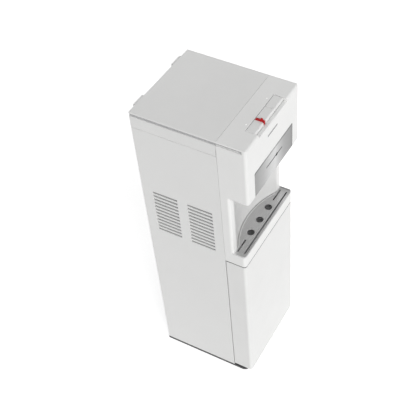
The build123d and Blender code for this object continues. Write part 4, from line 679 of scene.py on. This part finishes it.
def make_door_seal():
    """The soft strip on the door's top edge that shows as the dark line under the band."""
    lo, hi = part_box("door_shell")
    half, front, rear = hi.x - SEAL_INSET, lo.y + SEAL_INSET, hi.y - SEAL_REAR_GAP
    outer = plan_corner(half, front, rear, SEAL_CORNER)
    inside = plan_corner(half - SEAL_WIDE, front + SEAL_WIDE, rear, SEAL_CORNER - SEAL_WIDE)
    foot, top = hi.z - SEAL_SINK, hi.z + SEAL_TALL
    shoulder = top - SEAL_SLOPE
    near, far = 1 - SEAL_SHARE, SEAL_SHARE
    bm = bmesh.new()
    rings = []
    for (x0, y0), (x1, y1) in zip(outer, inside):
        rings.append([bm.verts.new(v) for v in (
            (x0, y0, foot), (x0, y0, shoulder),
            (x0 * near + x1 * far, y0 * near + y1 * far, top),
            (x0 * far + x1 * near, y0 * far + y1 * near, top),
            (x1, y1, shoulder), (x1, y1, foot),
        )])
    close_rings(bm, rings)
    piece("door_top_seal", bm, seal_grey, "door")


# Condenser: one tube to and fro across the back, with upright wires behind it
COIL_Y = 168 * MM
COIL_LOW = 170 * MM
COIL_HALF = 112 * MM
COIL_BEND = 14 * MM
COIL_PITCH = 48 * MM
COIL_RUNS = 10
COIL_RADIUS = 2.5 * MM
BEND_STEPS = 12
WIRES = 19
WIRE_RADIUS = 0.8 * MM
WIRE_PAST = 12 * MM
# The tube's ends, each point as its place past the last bend and its Y
COIL_END = ((7 * MM, 161 * MM), (6.5 * MM, 165 * MM), (4 * MM, 167.4 * MM))


def sweep(bm, path, radius, sides=12):
    """A round tube along a path of points, closed at both ends."""
    rings = []
    across = Vector((0, 1, 0))
    for i, point in enumerate(path):
        before = path[max(i - 1, 0)]
        after = path[min(i + 1, len(path) - 1)]
        along = (after - before).normalized()
        across = (across - along * across.dot(along)).normalized()
        other = along.cross(across)
        rings.append([
            bm.verts.new(point + radius * (math.cos(a) * across + math.sin(a) * other))
            for a in circle(sides)
        ])
    close_rings(bm, rings)


def coil_path():
    """The tube's line, from its lower end at the back panel to its upper end."""
    top = COIL_LOW + (COIL_RUNS - 1) * COIL_PITCH
    path = [Vector((-COIL_HALF - past, y, COIL_LOW)) for past, y in COIL_END]
    for run in range(COIL_RUNS):
        z = COIL_LOW + run * COIL_PITCH
        side = 1 if run % 2 == 0 else -1
        path += [Vector((side * COIL_HALF * t, COIL_Y, z)) for t in (-1, -0.5, 0, 0.5, 1)]
        if run == COIL_RUNS - 1:
            break
        for k in range(1, BEND_STEPS):
            a = math.pi * k / BEND_STEPS
            x = side * (COIL_HALF + COIL_BEND * math.sin(a))
            path.append(Vector((x, COIL_Y, z + COIL_PITCH / 2 * (1 - math.cos(a)))))
    return path + [Vector((-COIL_HALF - past, y, top)) for past, y in reversed(COIL_END)]


def make_condenser():
    """The wire and tube condenser with round bends, its ends turned in to the back panel."""
    path = coil_path()
    bm = bmesh.new()
    sweep(bm, path, COIL_RADIUS)
    low, top = path[0].z - WIRE_PAST, path[-1].z + WIRE_PAST
    y = COIL_Y + COIL_RADIUS + WIRE_RADIUS
    reach = COIL_HALF - COIL_PITCH / 2
    for k in range(WIRES):
        x = -reach + 2 * reach * k / (WIRES - 1)
        sweep(bm, [Vector((x, y, low)), Vector((x, y, top))], WIRE_RADIUS, sides=8)
    piece(
        "condenser_coil", bm, black_metal, "cabinet", ("condenser",), smooth=True
    )


# Screw heads: shares of the head's radius and of its height
HEAD_SIDES = 24
HEAD_PROFILE = ((1, 0.0), (1, 0.35), (0.93, 0.7), (0.76, 0.92), (0.68, 1.0))
CROSS_ARM, CROSS_HALF = 0.62, 0.16
CROSS_DEPTH, CROSS_TAPER = 0.6, 0.8
WELD = 1e-6


def islands(node):
    """The box of each separate solid in a node's mesh."""
    bm = bmesh.new()
    bm.from_mesh(NODES[node].data)
    bmesh.ops.remove_doubles(bm, verts=bm.verts, dist=WELD)
    seen, boxes = set(), []
    for start in bm.verts:
        if start in seen:
            continue
        group, stack = [], [start]
        seen.add(start)
        while stack:
            v = stack.pop()
            group.append(v.co.copy())
            for e in v.link_edges:
                w = e.other_vert(v)
                if w not in seen:
                    seen.add(w)
                    stack.append(w)
        lows = Vector([min(c[k] for c in group) for k in range(3)])
        highs = Vector([max(c[k] for c in group) for k in range(3)])
        boxes.append((lows, highs))
    bm.free()
    return boxes


def loop_edges(bm, ring):
    """The edges of a closed ring of vertices."""
    return [bm.edges.get((ring[i], ring[(i + 1) % len(ring)])) for i in range(len(ring))]


def screw_head(bm, x, z, y0, y1, radius):
    """A pan head with a cross recess, facing the rear."""
    depth = y1 - y0
    arm, half = CROSS_ARM * radius, CROSS_HALF * radius
    rings = []
    for share, t in HEAD_PROFILE:
        r = share * radius
        rings.append([
            bm.verts.new((x + r * math.cos(a), y0 + depth * t, z + r * math.sin(a)))
            for a in circle(HEAD_SIDES)
        ])
    join_rings(bm, rings)
    cross = [
        (arm, -half), (arm, half), (half, half), (half, arm), (-half, arm), (-half, half),
        (-arm, half), (-arm, -half), (-half, -half), (-half, -arm), (half, -arm), (half, -half),
    ]
    floor_y = y1 - CROSS_DEPTH * depth
    upper = [bm.verts.new((x + u, y1, z + v)) for u, v in cross]
    lower = [bm.verts.new((x + u * CROSS_TAPER, floor_y, z + v * CROSS_TAPER)) for u, v in cross]
    join_rings(bm, [upper, lower])
    bm.faces.new(lower)
    bm.faces.new(rings[0])
    bmesh.ops.bridge_loops(bm, edges=loop_edges(bm, rings[-1]) + loop_edges(bm, upper))


def make_screws():
    """A head with a cross recess in place of each plain panel screw."""
    bm = bmesh.new()
    for lo, hi in islands("panel_screws"):
        middle = (lo + hi) / 2
        screw_head(bm, middle.x, middle.z, lo.y, hi.y, (hi.z - lo.z) / 2)
    bmesh.ops.recalc_face_normals(bm, faces=bm.faces)
    piece("screw_heads", bm, steel, "cabinet", ("panel_screws",))


make_badge()
make_condenser()
make_screws()
make_status_window()
make_groove_shade_strips()
make_door_seal()
make_head_corners()


# Stage, light and camera
FLOOR_REACH = 12
FLOOR_GLOW = 0.6
WORLD_LIGHT = 0.4


def make_floor():
    """A pale matt floor that glows a little for the rays that show the background."""
    bm = bmesh.new()
    bmesh.ops.create_grid(bm, x_segments=2, y_segments=2, size=FLOOR_REACH)
    floor = bpy.data.objects.new("floor", mesh_of(bm, "floor"))
    SCENE.collection.objects.link(floor)
    s = Shader("pale_floor")
    s.paint(s.blend(s.noise(0.4, 3), "Fac", tone(228), tone(232)))
    s.surface(Roughness=0.9, Specular_IOR_Level=0.0)
    level = s.node("Math")
    level.operation = "MULTIPLY"
    level.inputs[1].default_value = FLOOR_GLOW
    s.join(s.background_rays(), 0, level, 0)
    glow = s.node("Emission")
    s.join(level, 0, glow, "Strength")
    both = s.node("AddShader")
    s.join(s.bsdf, 0, both, 0)
    s.join(glow, 0, both, 1)
    s.join(both, 0, s.out, "Surface")
    floor.data.materials.append(s.mat)


def make_world(level):
    """Plain white light all round, in front of a white background."""
    world = bpy.data.worlds.new("studio")
    SCENE.world = world
    world.use_nodes = True
    w = Nodes(world.node_tree)
    out = w.node("OutputWorld")
    light = w.node("Background", Color=WHITE, Strength=level)
    seen = w.node("Background", Color=WHITE, Strength=1.0)
    mix = w.node("MixShader")
    w.join(w.background_rays(), 0, mix, 0)
    w.join(light, 0, mix, 1)
    w.join(seen, 0, mix, 2)
    w.join(mix, 0, out, "Surface")


def sun(name, turn, rise, strength, angle):
    """A soft far lamp, turned from the front towards the left side and raised.

    turn, rise and angle, which is the lamp's own width, are in degrees.
    """
    data = bpy.data.lights.new(name, "SUN")
    data.energy = strength
    data.angle = math.radians(angle)
    obj = bpy.data.objects.new(name, data)
    a, e = math.radians(turn), math.radians(rise)
    towards = Vector((math.sin(a) * math.cos(e), math.cos(a) * math.cos(e), -math.sin(e)))
    obj.rotation_mode = "QUATERNION"
    obj.rotation_quaternion = towards.to_track_quat("-Z", "Y")
    SCENE.collection.objects.link(obj)


# The camera that the photo's edges give, in metres and millimetres of a 36 mm frame
CAMERA_PLACE = Vector((-1.4555, -0.9408, 2.4834))
CAMERA_ALONG = Vector((0.6152, 0.3025, -0.7280))
FRAME_WIDE = 36.0
FOCAL_LENGTH = 72.79
SHIFT_X, SHIFT_Y = -0.1966, -0.0278


def make_camera():
    """The camera at the photo's viewing angle, held level."""
    data = bpy.data.cameras.new("camera")
    data.sensor_width = FRAME_WIDE
    data.lens = FOCAL_LENGTH
    data.shift_x = SHIFT_X
    data.shift_y = SHIFT_Y
    data.clip_start = 0.05
    data.clip_end = 60.0
    cam = bpy.data.objects.new("camera", data)
    SCENE.collection.objects.link(cam)
    forward = CAMERA_ALONG.normalized()
    right = forward.cross(Vector((0, 0, 1))).normalized()
    up = right.cross(forward)
    turn = Matrix((right, up, -forward)).transposed()
    cam.matrix_world = Matrix.Translation(CAMERA_PLACE) @ turn.to_4x4()
    SCENE.camera = cam


make_floor()
make_world(WORLD_LIGHT)
sun("key", turn=33, rise=24, strength=2.0, angle=36)
sun("front", turn=-50, rise=10, strength=0.15, angle=40)
sun("upper", turn=110, rise=40, strength=0.1, angle=14)
sun("rear", turn=-135, rise=6, strength=0.9, angle=50)
make_camera()
SCENE.view_settings.view_transform = "Standard"
